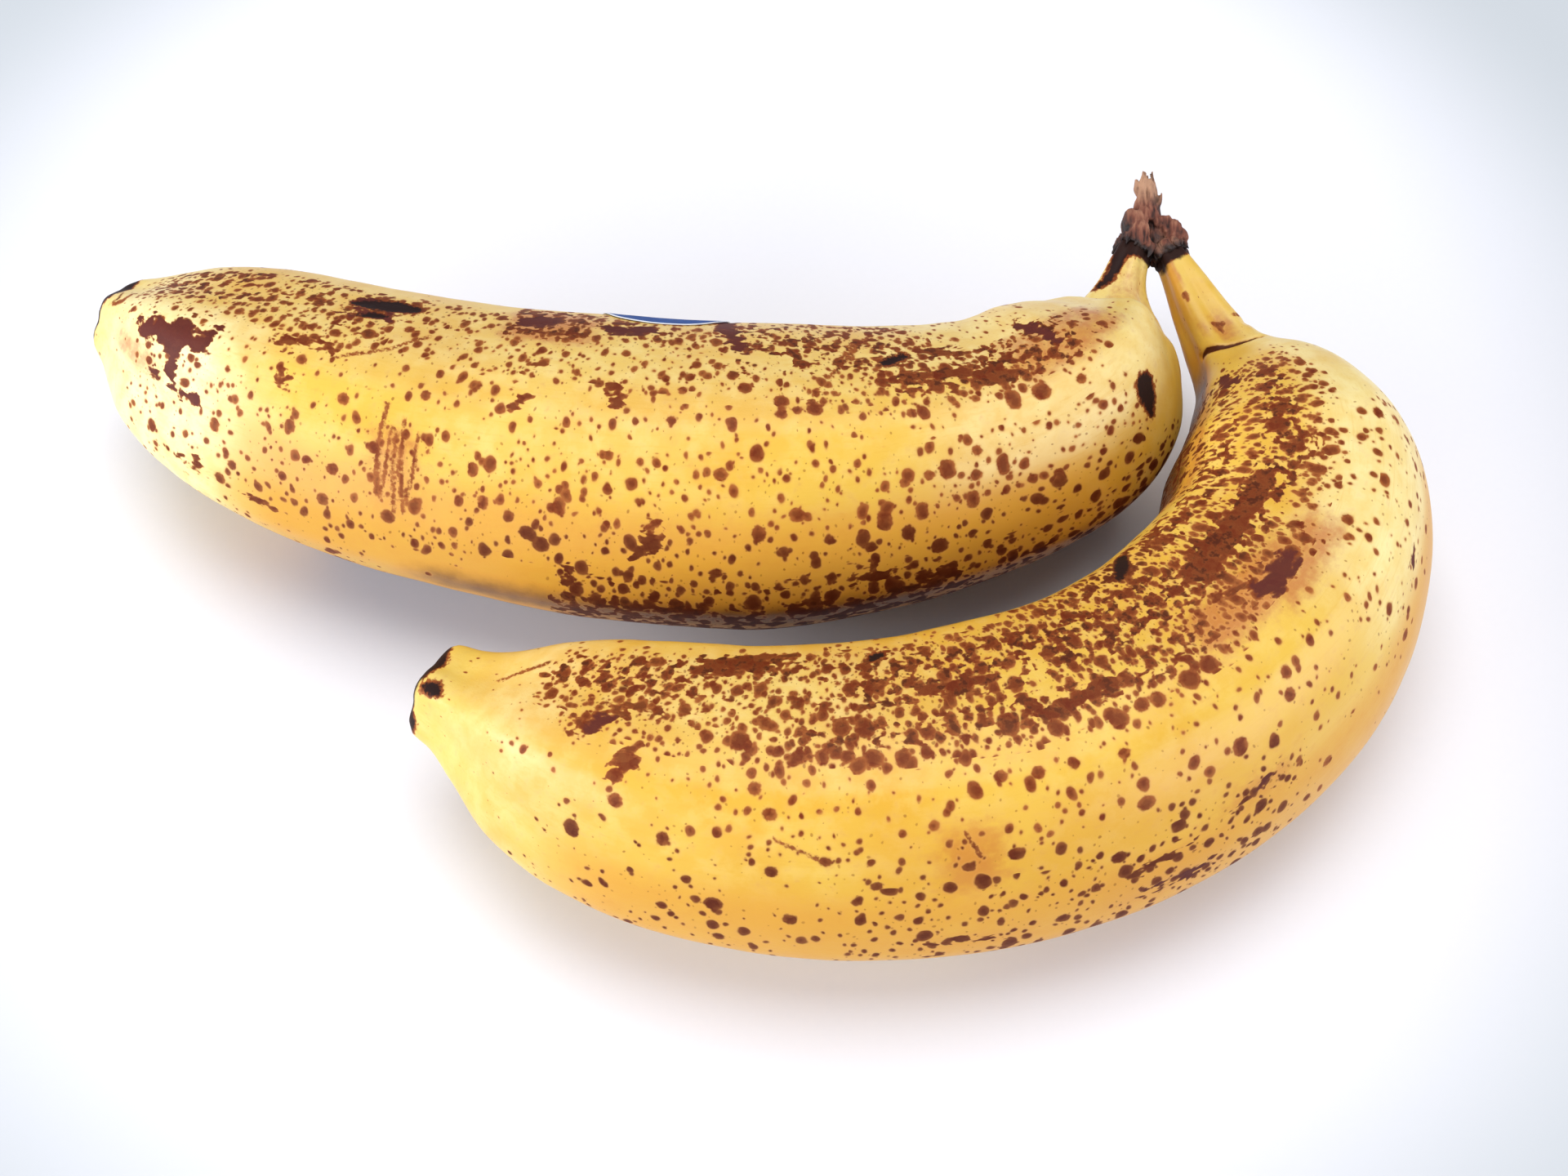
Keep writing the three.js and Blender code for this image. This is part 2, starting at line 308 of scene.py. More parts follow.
# %% The marks of the front fruit
FRONT_MARKS = {
    "freckles": [
        (24, 60, 80, 142, 0.9), (60, 104, 78, 142, 1.0), (104, 168, 84, 128, 0.9), (76, 142, 72, 92, 0.95),
        (98, 134, 108, 132, 1.0), (138, 164, 74, 92, 0.75), (24, 64, 136, 215, 0.7),
        (60, 104, 136, 215, 0.42), (104, 176, 128, 215, 0.22), (36, 80, 20, 78, 0.4),
        (78, 130, -30, 34, 0.62), (78, 150, 30, 76, 0.44), (128, 164, -30, 30, 0.38),
        (36, 160, 215, 330, 0.25), (16, 24, 0, 360, 0.06), (150, 172, 20, 78, 0.22),
    ],
    "smears": [
        (50, 80, 98, 120, 0.98), (78, 128, 96, 124, 0.86), (28, 52, 96, 118, 0.84),
        (24, 80, 122, 148, 0.72), (80, 136, 78, 96, 0.72), (132, 150, 112, 130, 0.92),
        # The 24 to 60 row at 146 to 200 degrees lies on the inner flank by the crown: partly real browning,
        # partly painted shade.
        (146, 170, 100, 124, 0.8), (24, 60, 146, 200, 0.85), (64, 100, 122, 136, 0.75),
        (126, 146, 96, 112, 0.6), (144, 164, 80, 100, 0.55), (100, 132, 120, 136, 0.5),
        (86, 102, -6, 24, 0.5), (106, 124, -10, 8, 0.45), (52, 78, 76, 98, 0.5), (98, 134, 108, 126, 0.7),
    ],
    "ripest": [
        # The 24 to 60 row at 140 to 210 degrees darkens the freckles on the inner flank by the crown:
        # partly real, partly painted shade.
        (80, 170, -40, 42, 0.9), (110, 170, 36, 50, 0.6), (24, 60, 140, 210, 0.8), (76, 90, 124, 140, 1.0),
    ],
    # These rows whiten the ends and outer shoulders: partly real wax bloom, partly a painted highlight
    # where the lamps glare.
    "pale": [
        (164, 172, 40, 320, 0.6), (18, 66, 26, 90, 0.65), (60, 84, -10, 30, 0.25),
        (120, 160, 84, 130, 0.25), (158, 182, -30, 84, 0.22),
    ],
    # These rows darken the undersides and the flanks near the other fruit: partly real browning, partly
    # painted shade.
    "browned": [
        (16, 62, 148, 250, 1.0), (60, 160, 168, 255, 1.0), (70, 124, -34, 2, 0.6), (0, 12, 130, 235, 0.55),
        (124, 160, -40, -6, 0.5), (40, 160, -44, 28, 0.48), (66, 130, 8, 60, 0.27),
    ],
    "spots": [
        (97.5, 44, 1, 0), (111.5, 39, 0.9, 0), (101, 26, 0.9, 0), (116.3, 36.5, 0.7, 0),
        (125.5, 31.5, 0.7, 0), (136, 36.5, 0.8, 0), (134, 15.5, 0.8, 0), (141.6, 18, 1, 0),
        (147.3, 43.5, 0.7, 0.3), (157.4, 34, 0.9, 0.5), (130.6, 42, 0.7, 0), (136.4, 58.5, 0.8, 0),
        (138.2, 67, 0.8, 0), (152.9, 54, 0.9, 0), (141, 0, 0.7, 0), (107, 4, 0.8, 0), (108, 65, 0.8, 0),
        (104, 65, 0.7, 0), (112, 66.5, 0.8, 0), (98.5, 63, 0.7, 0), (92.5, 75, 1, 0), (94.5, 75.5, 0.9, 0),
        (97.5, 74, 1.2, 0), (109.5, 83.5, 1.3, 0.3), (122, 77, 1, 0.2), (125.3, 78, 1.2, 0),
        (128.2, 79, 0.9, 0), (131, 79, 0.8, 0.3), (133.5, 79, 1, 0), (136, 81, 0.8, 0), (139, 81, 0.7, 0.2),
        (140.6, 84.5, 1.2, 0.2), (128.8, 90.5, 1.1, 0.3), (126, 90, 1.2, 0.3), (137.8, 92.5, 1, 0),
        (78.2, 59.5, 0.7, 0.2), (79, 52, 0.7, 0.2), (86.4, 47, 0.9, 0.3), (41, 65, 0.8, 0),
        (60.8, 20, 0.7, 0), (76.6, 13, 0.7, 0), (57.6, 74.5, 0.8, 0), (30, 106, 1.1, 0.2),
        (34, 111.5, 1.2, 0), (37, 117, 0.8, 0), (40, 107, 1.4, 0), (43.5, 108.5, 1.5, 0.2),
        (48, 103.5, 1.1, 0.3), (42.7, 132.5, 0.8, 0), (51.5, 91, 0.9, 0.4), (88, 76, 1.3, 0),
        (85, 77, 1.2, 0), (104.5, 78, 1, 0.2),
    ],
    "smear_strokes": [
        [(54, 110, 1.6), (62, 112, 2.2), (76, 108, 2.4)],
        [(136, 127, 1.2), (142, 123, 1.9), (148, 117, 1.0)],
        [(96, 86, 1.2), (100, 87, 1.2)],
        [(110, 103, 1.2), (118, 103, 1.2)],
        [(45.3, 98, 0.5), (45.8, 91, 0.6), (48.6, 91, 0.7), (49, 99, 0.6), (46, 100, 0.5)],
        [(152.3, 75, 0.7), (152.9, 69, 1.0), (153.6, 62, 0.4)],
        [(152, 97, 0.5), (157, 90, 0.7), (160.5, 75, 0.5)],
        [(69, 140, 0.5), (74, 130, 0.9)],
        [(102, 84, 1.4), (105, 83, 1.0), (107, 92, 0.9)],
        [(73, 90, 0.8), (78, 96, 0.8)],
        [(102, 12, 0.2), (98.5, 15.5, 0.55), (94.5, 19, 0.45), (92.5, 21, 0.1)],
        [(121, 0, 0.2), (117, 3, 0.45), (113, 0, 0.2)],
        [(89, 23, 0.2), (85.5, 26, 0.6), (82.5, 31, 0.3)],
    ],
    "bruises": [
        [(157.2, 85, 1.0), (157.8, 80, 1.0)],
        [(84.5, 28, 0.9), (85.5, 26, 0.8)],
        [(53.8, 37, 0.9), (55, 36, 0.8)],
        [(98, 5, 0.3), (94.5, 4, 0.8), (91.5, 3, 0.4)],
        [(26.5, 131, 1.2), (29, 127, 1.3)],
        [(67, 85, 1.2), (70.5, 84.5, 2.0), (72.5, 85.5, 1.2)],
    ],
    "black": [
        [(79.5, 137, 0.9), (81.5, 132, 1.2), (84, 127, 0.7)],
        [(122.5, 125, 0.6), (124, 123.5, 0.8)],
        [(180.3, 66, 0.6), (181.2, 67, 1.0), (182.5, 63, 0.6)],
        [(184.4, 128, 0.7), (183.7, 104, 1.3), (184.2, 80, 0.9)],
        [(184.5, 24, 0.6), (183.6, 6, 1.2), (184.2, -14, 0.8)],
        [(184.6, 150, 0.7), (184.4, 250, 0.9), (184.6, 330, 0.6)],
        [(0.6, 20, 0.8), (0.9, 90, 1.0), (1.0, 150, 1.2), (0.8, 190, 1.0)],
    ],
    "creases": [
        [(16.9, 156, 0.3), (16.8, 140, 0.6), (17.5, 129, 0.6), (18.5, 114, 0.5), (19.1, 96, 0.45)],
        [(19.1, 96, 0.45), (19.8, 84, 0.4), (20.2, 68, 0.15)],
    ],
    "scratches": [
        [(130.6, 42, 0.25), (136, 50, 0.2)],
        [(168.5, 116, 0.35), (172, 108, 0.3), (174, 99, 0.2)],
        [(116.5, 50, 0.2), (115, 40, 0.25)],
        [(13.2, 109, 0.3), (13.9, 102, 0.65), (14, 90, 0.3)],
        [(14, 103, 0.5), (15.2, 104, 0.3)],
        [(7.6, 131, 0.4), (8.4, 130, 0.3)],
        [(13.4, 66, 0.35), (13.6, 54, 0.3)],
    ],
    "stains": [
        (58, 74, 73, 92, 0.8), (113, 119, 26, 52, 0.95), (90, 103, -2, 18, 1.0), (109, 123, -5, 5, 0.9),
        # The 30 to 60 row at 140 to 220 degrees is partly a real stain and partly painted shade on the
        # inner flank.
        (30, 60, 140, 220, 0.8), (12, 17, 80, 116, 0.7), (2, 6, 120, 160, 0.9), (11, 15, 122, 138, 0.6),
        (64, 84, 78, 98, 1.0), (81, 89, 20, 32, 0.7),
    ],
}

# %% The marks of the back fruit
BACK_MARKS = {
    "freckles": [
        (28, 62, 74, 112, 0.85), (18, 30, 74, 112, 0.5), (48, 112, 108, 142, 0.86),
        (112, 158, 108, 134, 0.8), (48, 70, 76, 112, 0.88), (70, 124, 84, 110, 0.68),
        (124, 168, 84, 112, 0.85), (148, 169, 100, 134, 0.9), (28, 114, 16, 66, 0.58),
        (108, 160, 8, 66, 0.52), (48, 158, 66, 86, 0.5), (24, 100, -34, 18, 0.85), (60, 165, 140, 230, 0.4),
        (40, 160, 230, 326, 0.25), (24, 60, 112, 220, 0.4), (150, 168, 60, 140, 0.55),
        (120, 160, -30, 10, 0.4),
    ],
    "smears": [
        (24, 44, 78, 114, 0.86), (38, 58, 82, 100, 0.95), (44, 60, 100, 116, 0.8),
        (97, 112, 112, 142, 0.95), (52, 80, 96, 142, 0.78), (126, 148, 92, 136, 0.66),
        (146, 168, 94, 134, 0.8), (86, 98, 116, 134, 0.85), (146, 160, 56, 92, 0.6),
        # The rows from 48 to 106 at -30 to 8 and from 24 to 48 at -20 to 10 lie on the underside: partly
        # real dead skin, partly painted shade where the fruit meets the table.
        (48, 106, -30, 8, 0.95), (24, 48, -20, 10, 0.6), (54, 100, 8, 22, 0.6), (58, 80, 78, 92, 0.5),
    ],
    # The first row darkens the freckles of the underside: partly real dead skin, partly painted shade.
    "ripest": [(20, 110, -40, 34, 0.9), (110, 150, -30, 26, 0.5), (90, 136, 116, 130, 0.5)],
    # These rows whiten the ends and upper faces: partly real wax bloom, partly a painted highlight where
    # the lamps glare.
    "pale": [
        (142, 172, -10, 90, 1.0), (156, 172, 90, 340, 0.6), (6, 52, 36, 84, 0.55), (0, 60, 90, 150, 0.5),
        (0, 14, 20, 100, 0.5), (56, 150, 84, 140, 0.34), (80, 115, 55, 75, 0.2),
    ],
    # These rows darken the underside and the lower face: partly real browning, partly painted shade.
    "browned": [
        (36, 140, -100, -14, 1.0), (20, 40, -110, -40, 1.0), (50, 120, -16, 10, 0.85),
        (56, 112, 4, 24, 0.5), (20, 44, -20, 10, 0.25), (120, 150, -60, -16, 0.55),
        (34, 140, -10, 44, 0.46),
    ],
    "spots": [
        (52.2, 52, 1, 0.4), (54.5, 51, 0.7, 0), (57.5, 50, 0.7, 0), (48.2, 57, 0.7, 0), (48.8, 47, 0.8, 0),
        (45.3, 48, 0.8, 0.6), (49.6, 37, 0.8, 0.5), (55.8, 37, 0.8, 0.5), (60.2, 36, 0.9, 0.6),
        (57.6, 29, 0.8, 0.3), (62, 26, 0.8, 0), (39.6, 33.5, 0.7, 0.8), (54.1, 20.5, 1.1, 0),
        (70.1, 42, 1, 0), (74.4, 35, 0.8, 0.3), (78.7, 57, 0.9, 0), (66.5, 31, 0.7, 0), (79, 19.5, 0.7, 0),
        (83.6, 4, 0.9, 0), (80.7, 4.5, 0.8, 0), (38.6, 73, 1.2, 0), (42.2, 74, 0.9, 0.6),
        (33.4, 70, 0.7, 0), (55.3, 75.5, 0.7, 0), (127, 66, 0.8, 0), (116.6, 74, 0.7, 0),
        (94.9, 88.5, 0.7, 0), (110.5, 81.5, 0.7, 0), (98, 41, 0.8, 0.5), (107.4, 38, 0.7, 0.3),
        (109, 50, 0.7, 0.3), (119.3, 23.5, 1, 0), (127.1, 37, 0.8, 0), (128, 23, 0.9, 0),
        (133.3, 50, 0.7, 0.3), (143.9, 37.5, 0.7, 0.4), (140.6, 23, 0.7, 0), (142.2, 14, 0.8, 0),
        (138.4, 114, 1, 0), (123.2, 106.5, 0.8, 0), (108.2, 108, 0.7, 0.2), (100, 25, 1.1, 0),
        (101.8, 29, 1, 0), (67.3, 80.5, 1.1, 0), (71.4, 84, 1, 0), (71.5, 78.5, 0.8, 0), (69.5, 80, 0.7, 0),
        (96.8, 4, 0.9, 0), (85, 75, 0.7, 0), (84, 88, 0.7, 0), (76, 90, 1, 0), (58, 92, 1, 0),
        (54, 94, 1.1, 0),
    ],
    "smear_strokes": [
        [(40, 86, 1.0), (43.6, 88, 2.2), (45, 90, 1.4)],
        [(46, 93, 1.4), (54, 93, 1.3)],
        [(46, 107, 1.0), (51, 112, 1.2)],
        [(86.5, 37, 0.8), (86.8, 31, 1.2), (88.5, 25, 0.9)],
        [(103.7, 80, 0.6), (105.2, 75, 0.6)],
        [(92.5, 87, 0.7), (91.8, 79, 0.7)],
        [(96.5, 17, 0.7), (96.5, 9, 0.6)],
        [(53, 7, 1.0), (56, 7, 1.0)],
        [(60, 12, 0.8), (64, 14, 0.8)],
        [(145.5, 16, 0.6), (147.5, 12, 0.8)],
        [(134.5, 11, 0.3), (136.3, 11, 0.5), (138, 11, 0.2)],
        [(103, 95, 0.6), (105, 91, 0.6)],
        [(131, 84, 0.7), (134, 88, 0.6), (138, 82, 1.0)],
        [(133, 66, 0.4), (136, 68, 0.6)],
    ],
    "bruises": [
        [(147.6, 79, 0.6), (148, 70, 1.2), (151, 70, 1.4)],
        [(150.5, 71, 1.5), (153, 69, 2.3), (156, 68, 1.6), (159.5, 67, 1.4)],
        [(152.5, 66, 1.4), (152.8, 58, 1.0), (152, 48, 1.3)],
        [(147.6, 45, 0.8), (149.6, 43, 0.6)],
        [(155.6, 46, 0.5), (155.4, 40, 0.4)],
        [(33, 116, 1.2), (32.2, 104, 1.3), (31.6, 92, 0.5)],
        [(79.5, 142, 1.6), (78.5, 126, 1.5), (76.5, 113, 0.9)],
        [(90.5, 126, 1.6), (95.5, 124, 1.6)],
        [(132, 121, 1.2), (134, 121, 0.8)],
        [(127.6, 112, 1.0), (131, 113, 0.9), (134, 110, 0.6)],
        [(105, 128, 2.0), (108, 126, 2.0)],
    ],
    "black": [
        [(26.2, 48, 1.6), (26.5, 42, 1.5), (27.2, 33, 0.5)],
        [(124.6, 122, 1.0), (128, 121.5, 1.7), (131, 120, 1.4), (133.6, 118.5, 0.7)],
        [(127.8, 113, 0.6), (129.5, 112, 0.9), (132.5, 109, 0.3)],
        [(53.5, 109, 0.7), (56.5, 104, 0.9)],
        [(0.4, 20, 1.2), (0.9, 60, 1.3), (1.3, 95, 1.5), (1.2, 140, 1.8), (0.4, 220, 1.2)],
        [(2.4, 118, 1.3), (4, 121, 1.0), (6, 124, 0.8), (7.6, 137, 0.6)],
        [(174.2, 150, 0.8), (173.2, 110, 1.5), (173.6, 78, 1.0), (174.2, 60, 0.5)],
        [(174.4, 170, 0.7), (174.3, 250, 0.9), (174.4, 330, 0.6)],
    ],
    "creases": [
        [(12.6, 66, 0.1), (13, 40, 0.15), (13.2, 12, 0.1)],
        [(171.3, 92, 0.15), (170.4, 80, 0.25), (171.2, 70, 0.12)],
    ],
    "scratches": [
        [(57, 128, 0.35), (60, 116, 0.45), (63, 103, 0.35), (66, 92, 0.25)],
        [(59, 124, 0.25), (62, 112, 0.3)],
        [(116.4, 60, 0.2), (116.6, 42, 0.3), (117.5, 26, 0.2)],
        [(118.6, 64, 0.25), (118.2, 45, 0.35), (117.4, 27, 0.25)],
        [(119.2, 58, 0.2), (119, 40, 0.3), (118.6, 24, 0.25)],
        [(121.2, 68, 0.3), (121.4, 50, 0.35), (121, 32, 0.45)],
        [(119.9, 60, 0.25), (120.2, 40, 0.3), (120.5, 31, 0.3)],
        [(120, 104, 0.35), (124, 92, 0.3), (130, 82, 0.25)],
        [(169, 92, 0.3), (168.8, 78, 0.5), (170.5, 72, 0.3)],
    ],
    "stains": [
        (20, 40, 78, 110, 0.7), (98, 111, 110, 138, 0.9), (116, 122, 24, 60, 0.7), (156, 167, 40, 58, 0.6),
        # The 40 to 110 row at -40 to 6, on the underside, is partly a real stain and partly painted shade.
        (40, 110, -40, 6, 0.5), (3, 12, 20, 110, 0.4),
    ],
}
for title, marks in (("front", FRONT_MARKS), ("back", BACK_MARKS)):
    print(title, "fruit:", len(marks["spots"]), "lone spots,", len(marks["freckles"]), "freckled patches")

# %% [markdown]
# ## The skin's relief
#
# Up close a ripe banana isn't a smooth tube. It has broad, shallow dents from lying on others, its
# pedicel is grooved, the skin folds where the pedicel bends into the shoulder, and dead skin sinks a
# little. These are real forms, so the vertices are moved, by noise taken in the fruit's own
# straightened space. In that space the bend is undone, so a pattern runs along the fruit instead of
# across it.

# %% Relief of the skin
ALONG_STEP = 0.44
AROUND_COUNT = 218
CAP_RINGS = 10
CAP_HEIGHT = 0.8
TABLE_SOFTNESS = 0.25
EDGE_CREST = 0.32
EDGE_WIDTH = 2.2
BROAD_DENTS = (0.22, 17.0)
SMALL_DENTS = (0.07, 5.0)
GROOVES = (0.14, 1.3)
WRINKLES = (0.16, 1.6)
BLACK_SINKS = 0.12
BRUISE_SINKS = 0.08
ALONG_GRAIN = np.array([0.12, 1.0, 1.0])


def straightened(skin):
    """The fruit's own space: along the fruit, and the two directions across it, with the bend undone."""
    angle = np.radians(skin["around"])
    ahead = skin["along"] + skin["offset"]
    out = skin["girth"] * np.cos(angle)
    up = skin["girth"] * np.sin(angle)
    return np.stack([ahead, out, up], axis=-1)


def noise_at(places, size):
    """Perlin noise at each place, about -1 to 1, with features of that size."""
    flat = (places / size).reshape(-1, 3)
    values = np.fromiter((noise.noise(Vector(place)) for place in flat), float, len(flat))
    return values.reshape(places.shape[:-1])


def fold_across(skin, folds):
    """A skin fold: its depth in mm where it runs, narrow and with soft sides."""
    depth = np.zeros(skin["along"].shape)
    for path, fold_width, fold_depth in folds:
        away = np.maximum(-stroke_edge(skin, path), 0)
        depth = np.maximum(depth, fold_depth * np.exp(-((away / fold_width) ** 2)))
    return depth


def swells(places, depth, size):
    return depth * noise_at(places, size)


def relief(skin, fruit, folds):
    """How far the skin stands proud of the plain section. Pairs are a depth and a size."""
    place = straightened(skin)
    past_edge = turn_from(skin["around"] * EDGES, fruit["first_edge"] * EDGES) / EDGES
    from_edge = np.radians(past_edge) * skin["girth"]
    crest = EDGE_CREST * np.exp(-((from_edge / EDGE_WIDTH) ** 2))
    dents = swells(place, *BROAD_DENTS) + swells(place + 40.0, *SMALL_DENTS)
    drawn_out = place * ALONG_GRAIN
    grooves = swells(drawn_out, *GROOVES) * (1 - smoothstep(skin["along"], 12, 24))
    end = skin["end"]
    wrinkles = swells(drawn_out + 9.0, *WRINKLES) * smoothstep(skin["along"], end - 8, end - 1)
    sunk = BLACK_SINKS * smoothstep(skin["black"], -0.2, 0.6)
    sunk = sunk + BRUISE_SINKS * smoothstep(skin["bruises"], -0.3, 0.8)
    body = smoothstep(skin["along"], 2, 10)
    return (dents + crest) * body + grooves + wrinkles - sunk - fold_across(skin, folds)


print("broad dents of", BROAD_DENTS[0], "mm, edges that stand out", EDGE_CREST, "mm")

# %% [markdown]
# ## The mesh of a fruit
#
# The skin is a grid: rings along the fruit, and the same number of points around each. The last rings
# shrink to close the blossom end. Where the fruit lies on the table, it is pressed flat, with a soft
# edge, as a ripe one is. Every vertex keeps its place in the straightened space and its distances to
# the marks as attributes, which a material can read by name.


# %% The grid of the skin
SEAM_AROUND = -90.0
MEAN_RADIUS = 18.5
FRONT_OFFSET = 0.0
BACK_OFFSET = 400.0
CRISP_PATCH = (6.0, 12.0)
SOFT_PATCH = (18.0, 26.0)
STROKE_KINDS = ("smear_strokes", "bruises", "black", "scratches", "creases")
CRISP_KINDS = ("freckles", "smears", "stains", "ripest")
SOFT_KINDS = ("pale", "browned")


def skin_values(fruit, marks, offset, along, around, shrink):
    """What is known of the skin at these places: girth, distances to the marks, and densities."""
    skin = {"end": length_of(fruit), "offset": offset, "along": along, "around": around, "shrink": shrink}
    skin["push"] = CAP_HEIGHT * (1 - shrink**2)
    skin["girth"] = girth_at(fruit, along) * shrink
    skin["spots"] = marks_edge(skin, spots_as_strokes(marks["spots"]))
    for kind in STROKE_KINDS:
        skin[kind] = marks_edge(skin, marks[kind])
    for kind in CRISP_KINDS:
        skin[kind] = patches(skin, marks[kind], *CRISP_PATCH)
    for kind in SOFT_KINDS:
        skin[kind] = patches(skin, marks[kind], *SOFT_PATCH)
    off_seam = smoothstep(np.abs(turn_from(around, SEAM_AROUND)), 2.0, 8.0)
    skin["freckles"] = skin["freckles"] * off_seam - 2.0 * (1 - off_seam)
    return skin


def unrolled(skin):
    """The skin laid flat, as along and around in millimetres, slit open along the underside."""
    turned = np.radians(np.mod(skin["around"] - SEAM_AROUND, 360.0)) * MEAN_RADIUS
    return np.stack([skin["along"] + skin["offset"], turned, np.zeros_like(turned)], axis=-1)


def skin_grid(fruit, marks, offset):
    end = length_of(fruit)
    body = np.linspace(0, end, round(end / ALONG_STEP))
    cap = np.linspace(1, 0.04, CAP_RINGS + 1)[1:]
    along = np.concatenate([body, np.full(CAP_RINGS, end)])
    shrink = np.concatenate([np.ones(len(body)), cap])
    around = np.arange(AROUND_COUNT) * 360.0 / AROUND_COUNT + SEAM_AROUND
    along, around = np.meshgrid(along, around, indexing="ij")
    shrink = np.repeat(shrink[:, None], AROUND_COUNT, axis=1)
    return skin_values(fruit, marks, offset, along, around, shrink)


def pressed_on_table(points):
    height = points[..., 2]
    points[..., 2] = (height + np.sqrt(height**2 + TABLE_SOFTNESS**2)) / 2
    return points


def grid_faces(rings, count):
    faces = []
    for ring in range(rings - 1):
        for step in range(count):
            after = (step + 1) % count
            here = ring * count
            faces.append((here + step, here + after, here + count + after, here + count + step))
    faces.append(tuple(range(count - 1, -1, -1)))
    faces.append(tuple(range((rings - 1) * count, rings * count)))
    return faces


print("a ring of", AROUND_COUNT, "points every", ALONG_STEP, "mm of a fruit")


# %% Meshes that keep values
def mesh_object(name, points, faces):
    """A smooth shaded mesh from points in millimetres."""
    mesh = bpy.data.meshes.new(name)
    mesh.from_pydata(points.reshape(-1, 3) * MM, [], faces)
    mesh.polygons.foreach_set("use_smooth", [True] * len(mesh.polygons))
    mesh.update()
    made = bpy.data.objects.new(name, mesh)
    bpy.context.scene.collection.objects.link(made)
    return made


def keep_values(piece, name, values):
    """Keeps one number, or a vector of three, at each vertex under that name."""
    kind, field = ("FLOAT_VECTOR", "vector") if values.shape[-1:] == (3,) else ("FLOAT", "value")
    attribute = piece.data.attributes.new(name, kind, "POINT")
    attribute.data.foreach_set(field, np.ascontiguousarray(values, np.float32).ravel())


def outward(piece):
    """Turns the faces out, which a mirrored grid could have the wrong way round."""
    shape = bmesh.new()
    shape.from_mesh(piece.data)
    bmesh.ops.recalc_face_normals(shape, faces=shape.faces)
    shape.to_mesh(piece.data)
    shape.free()


print("kinds of marks at each vertex:", 1 + len(STROKE_KINDS + CRISP_KINDS + SOFT_KINDS))


# %% Building both fruits
def build_fruit(name, fruit, marks, folds, offset):
    skin = skin_grid(fruit, marks, offset)
    lift = relief(skin, fruit, folds)
    points = skin_point(fruit, skin["along"], skin["around"], lift, skin["shrink"], skin["push"])
    points = pressed_on_table(points)
    piece = mesh_object(name, points, grid_faces(*skin["along"].shape))
    keep_values(piece, "place", straightened(skin))
    keep_values(piece, "unrolled", unrolled(skin))
    keep_values(piece, "run", skin["along"] / skin["end"])
    for kind in ("spots",) + STROKE_KINDS + CRISP_KINDS + SOFT_KINDS:
        keep_values(piece, kind, skin[kind])
    outward(piece)
    return piece


NECK_FOLD = [(16.9, 156, 0), (16.8, 140, 0), (17.5, 129, 0), (18.5, 114, 0), (19.1, 96, 0), (20.2, 70, 0)]
FRONT_FOLDS = [(NECK_FOLD, 0.45, 0.5), ([(15.5, 60, 0), (14.2, 30, 0)], 0.6, 0.25)]
BACK_FOLDS = [([(12.5, 60, 0), (13, 20, 0)], 0.8, 0.2)]
front_fruit = build_fruit("front_banana_skin", FRONT_FRUIT, FRONT_MARKS, FRONT_FOLDS, FRONT_OFFSET)
back_fruit = build_fruit("back_banana_skin", BACK_FRUIT, BACK_MARKS, BACK_FOLDS, BACK_OFFSET)


def furthest_from_solid(piece, node):
    """How far the fine skin strays from the CAD solid that it stands for, in mm, at every 37th vertex."""
    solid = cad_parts[node].data
    tree = BVHTree.FromPolygons([v.co for v in solid.vertices], [p.vertices for p in solid.polygons])
    sample = list(piece.data.vertices)[::37]
    return max(tree.find_nearest(vertex.co)[3] for vertex in sample) / MM


for piece, node in ((front_fruit, "banana_front"), (back_fruit, "banana_back")):
    strays = round(furthest_from_solid(piece, node), 2)
    print(piece.name, len(piece.data.polygons), "faces, within", strays, "mm of the solid")

# %% [markdown]
# ## A few words for shader nodes
#
# A finish is a recipe, and node code is easier to read when it looks like one. This small class adds a
# node, feeds its sockets with numbers or with other sockets, and hands back what comes out.


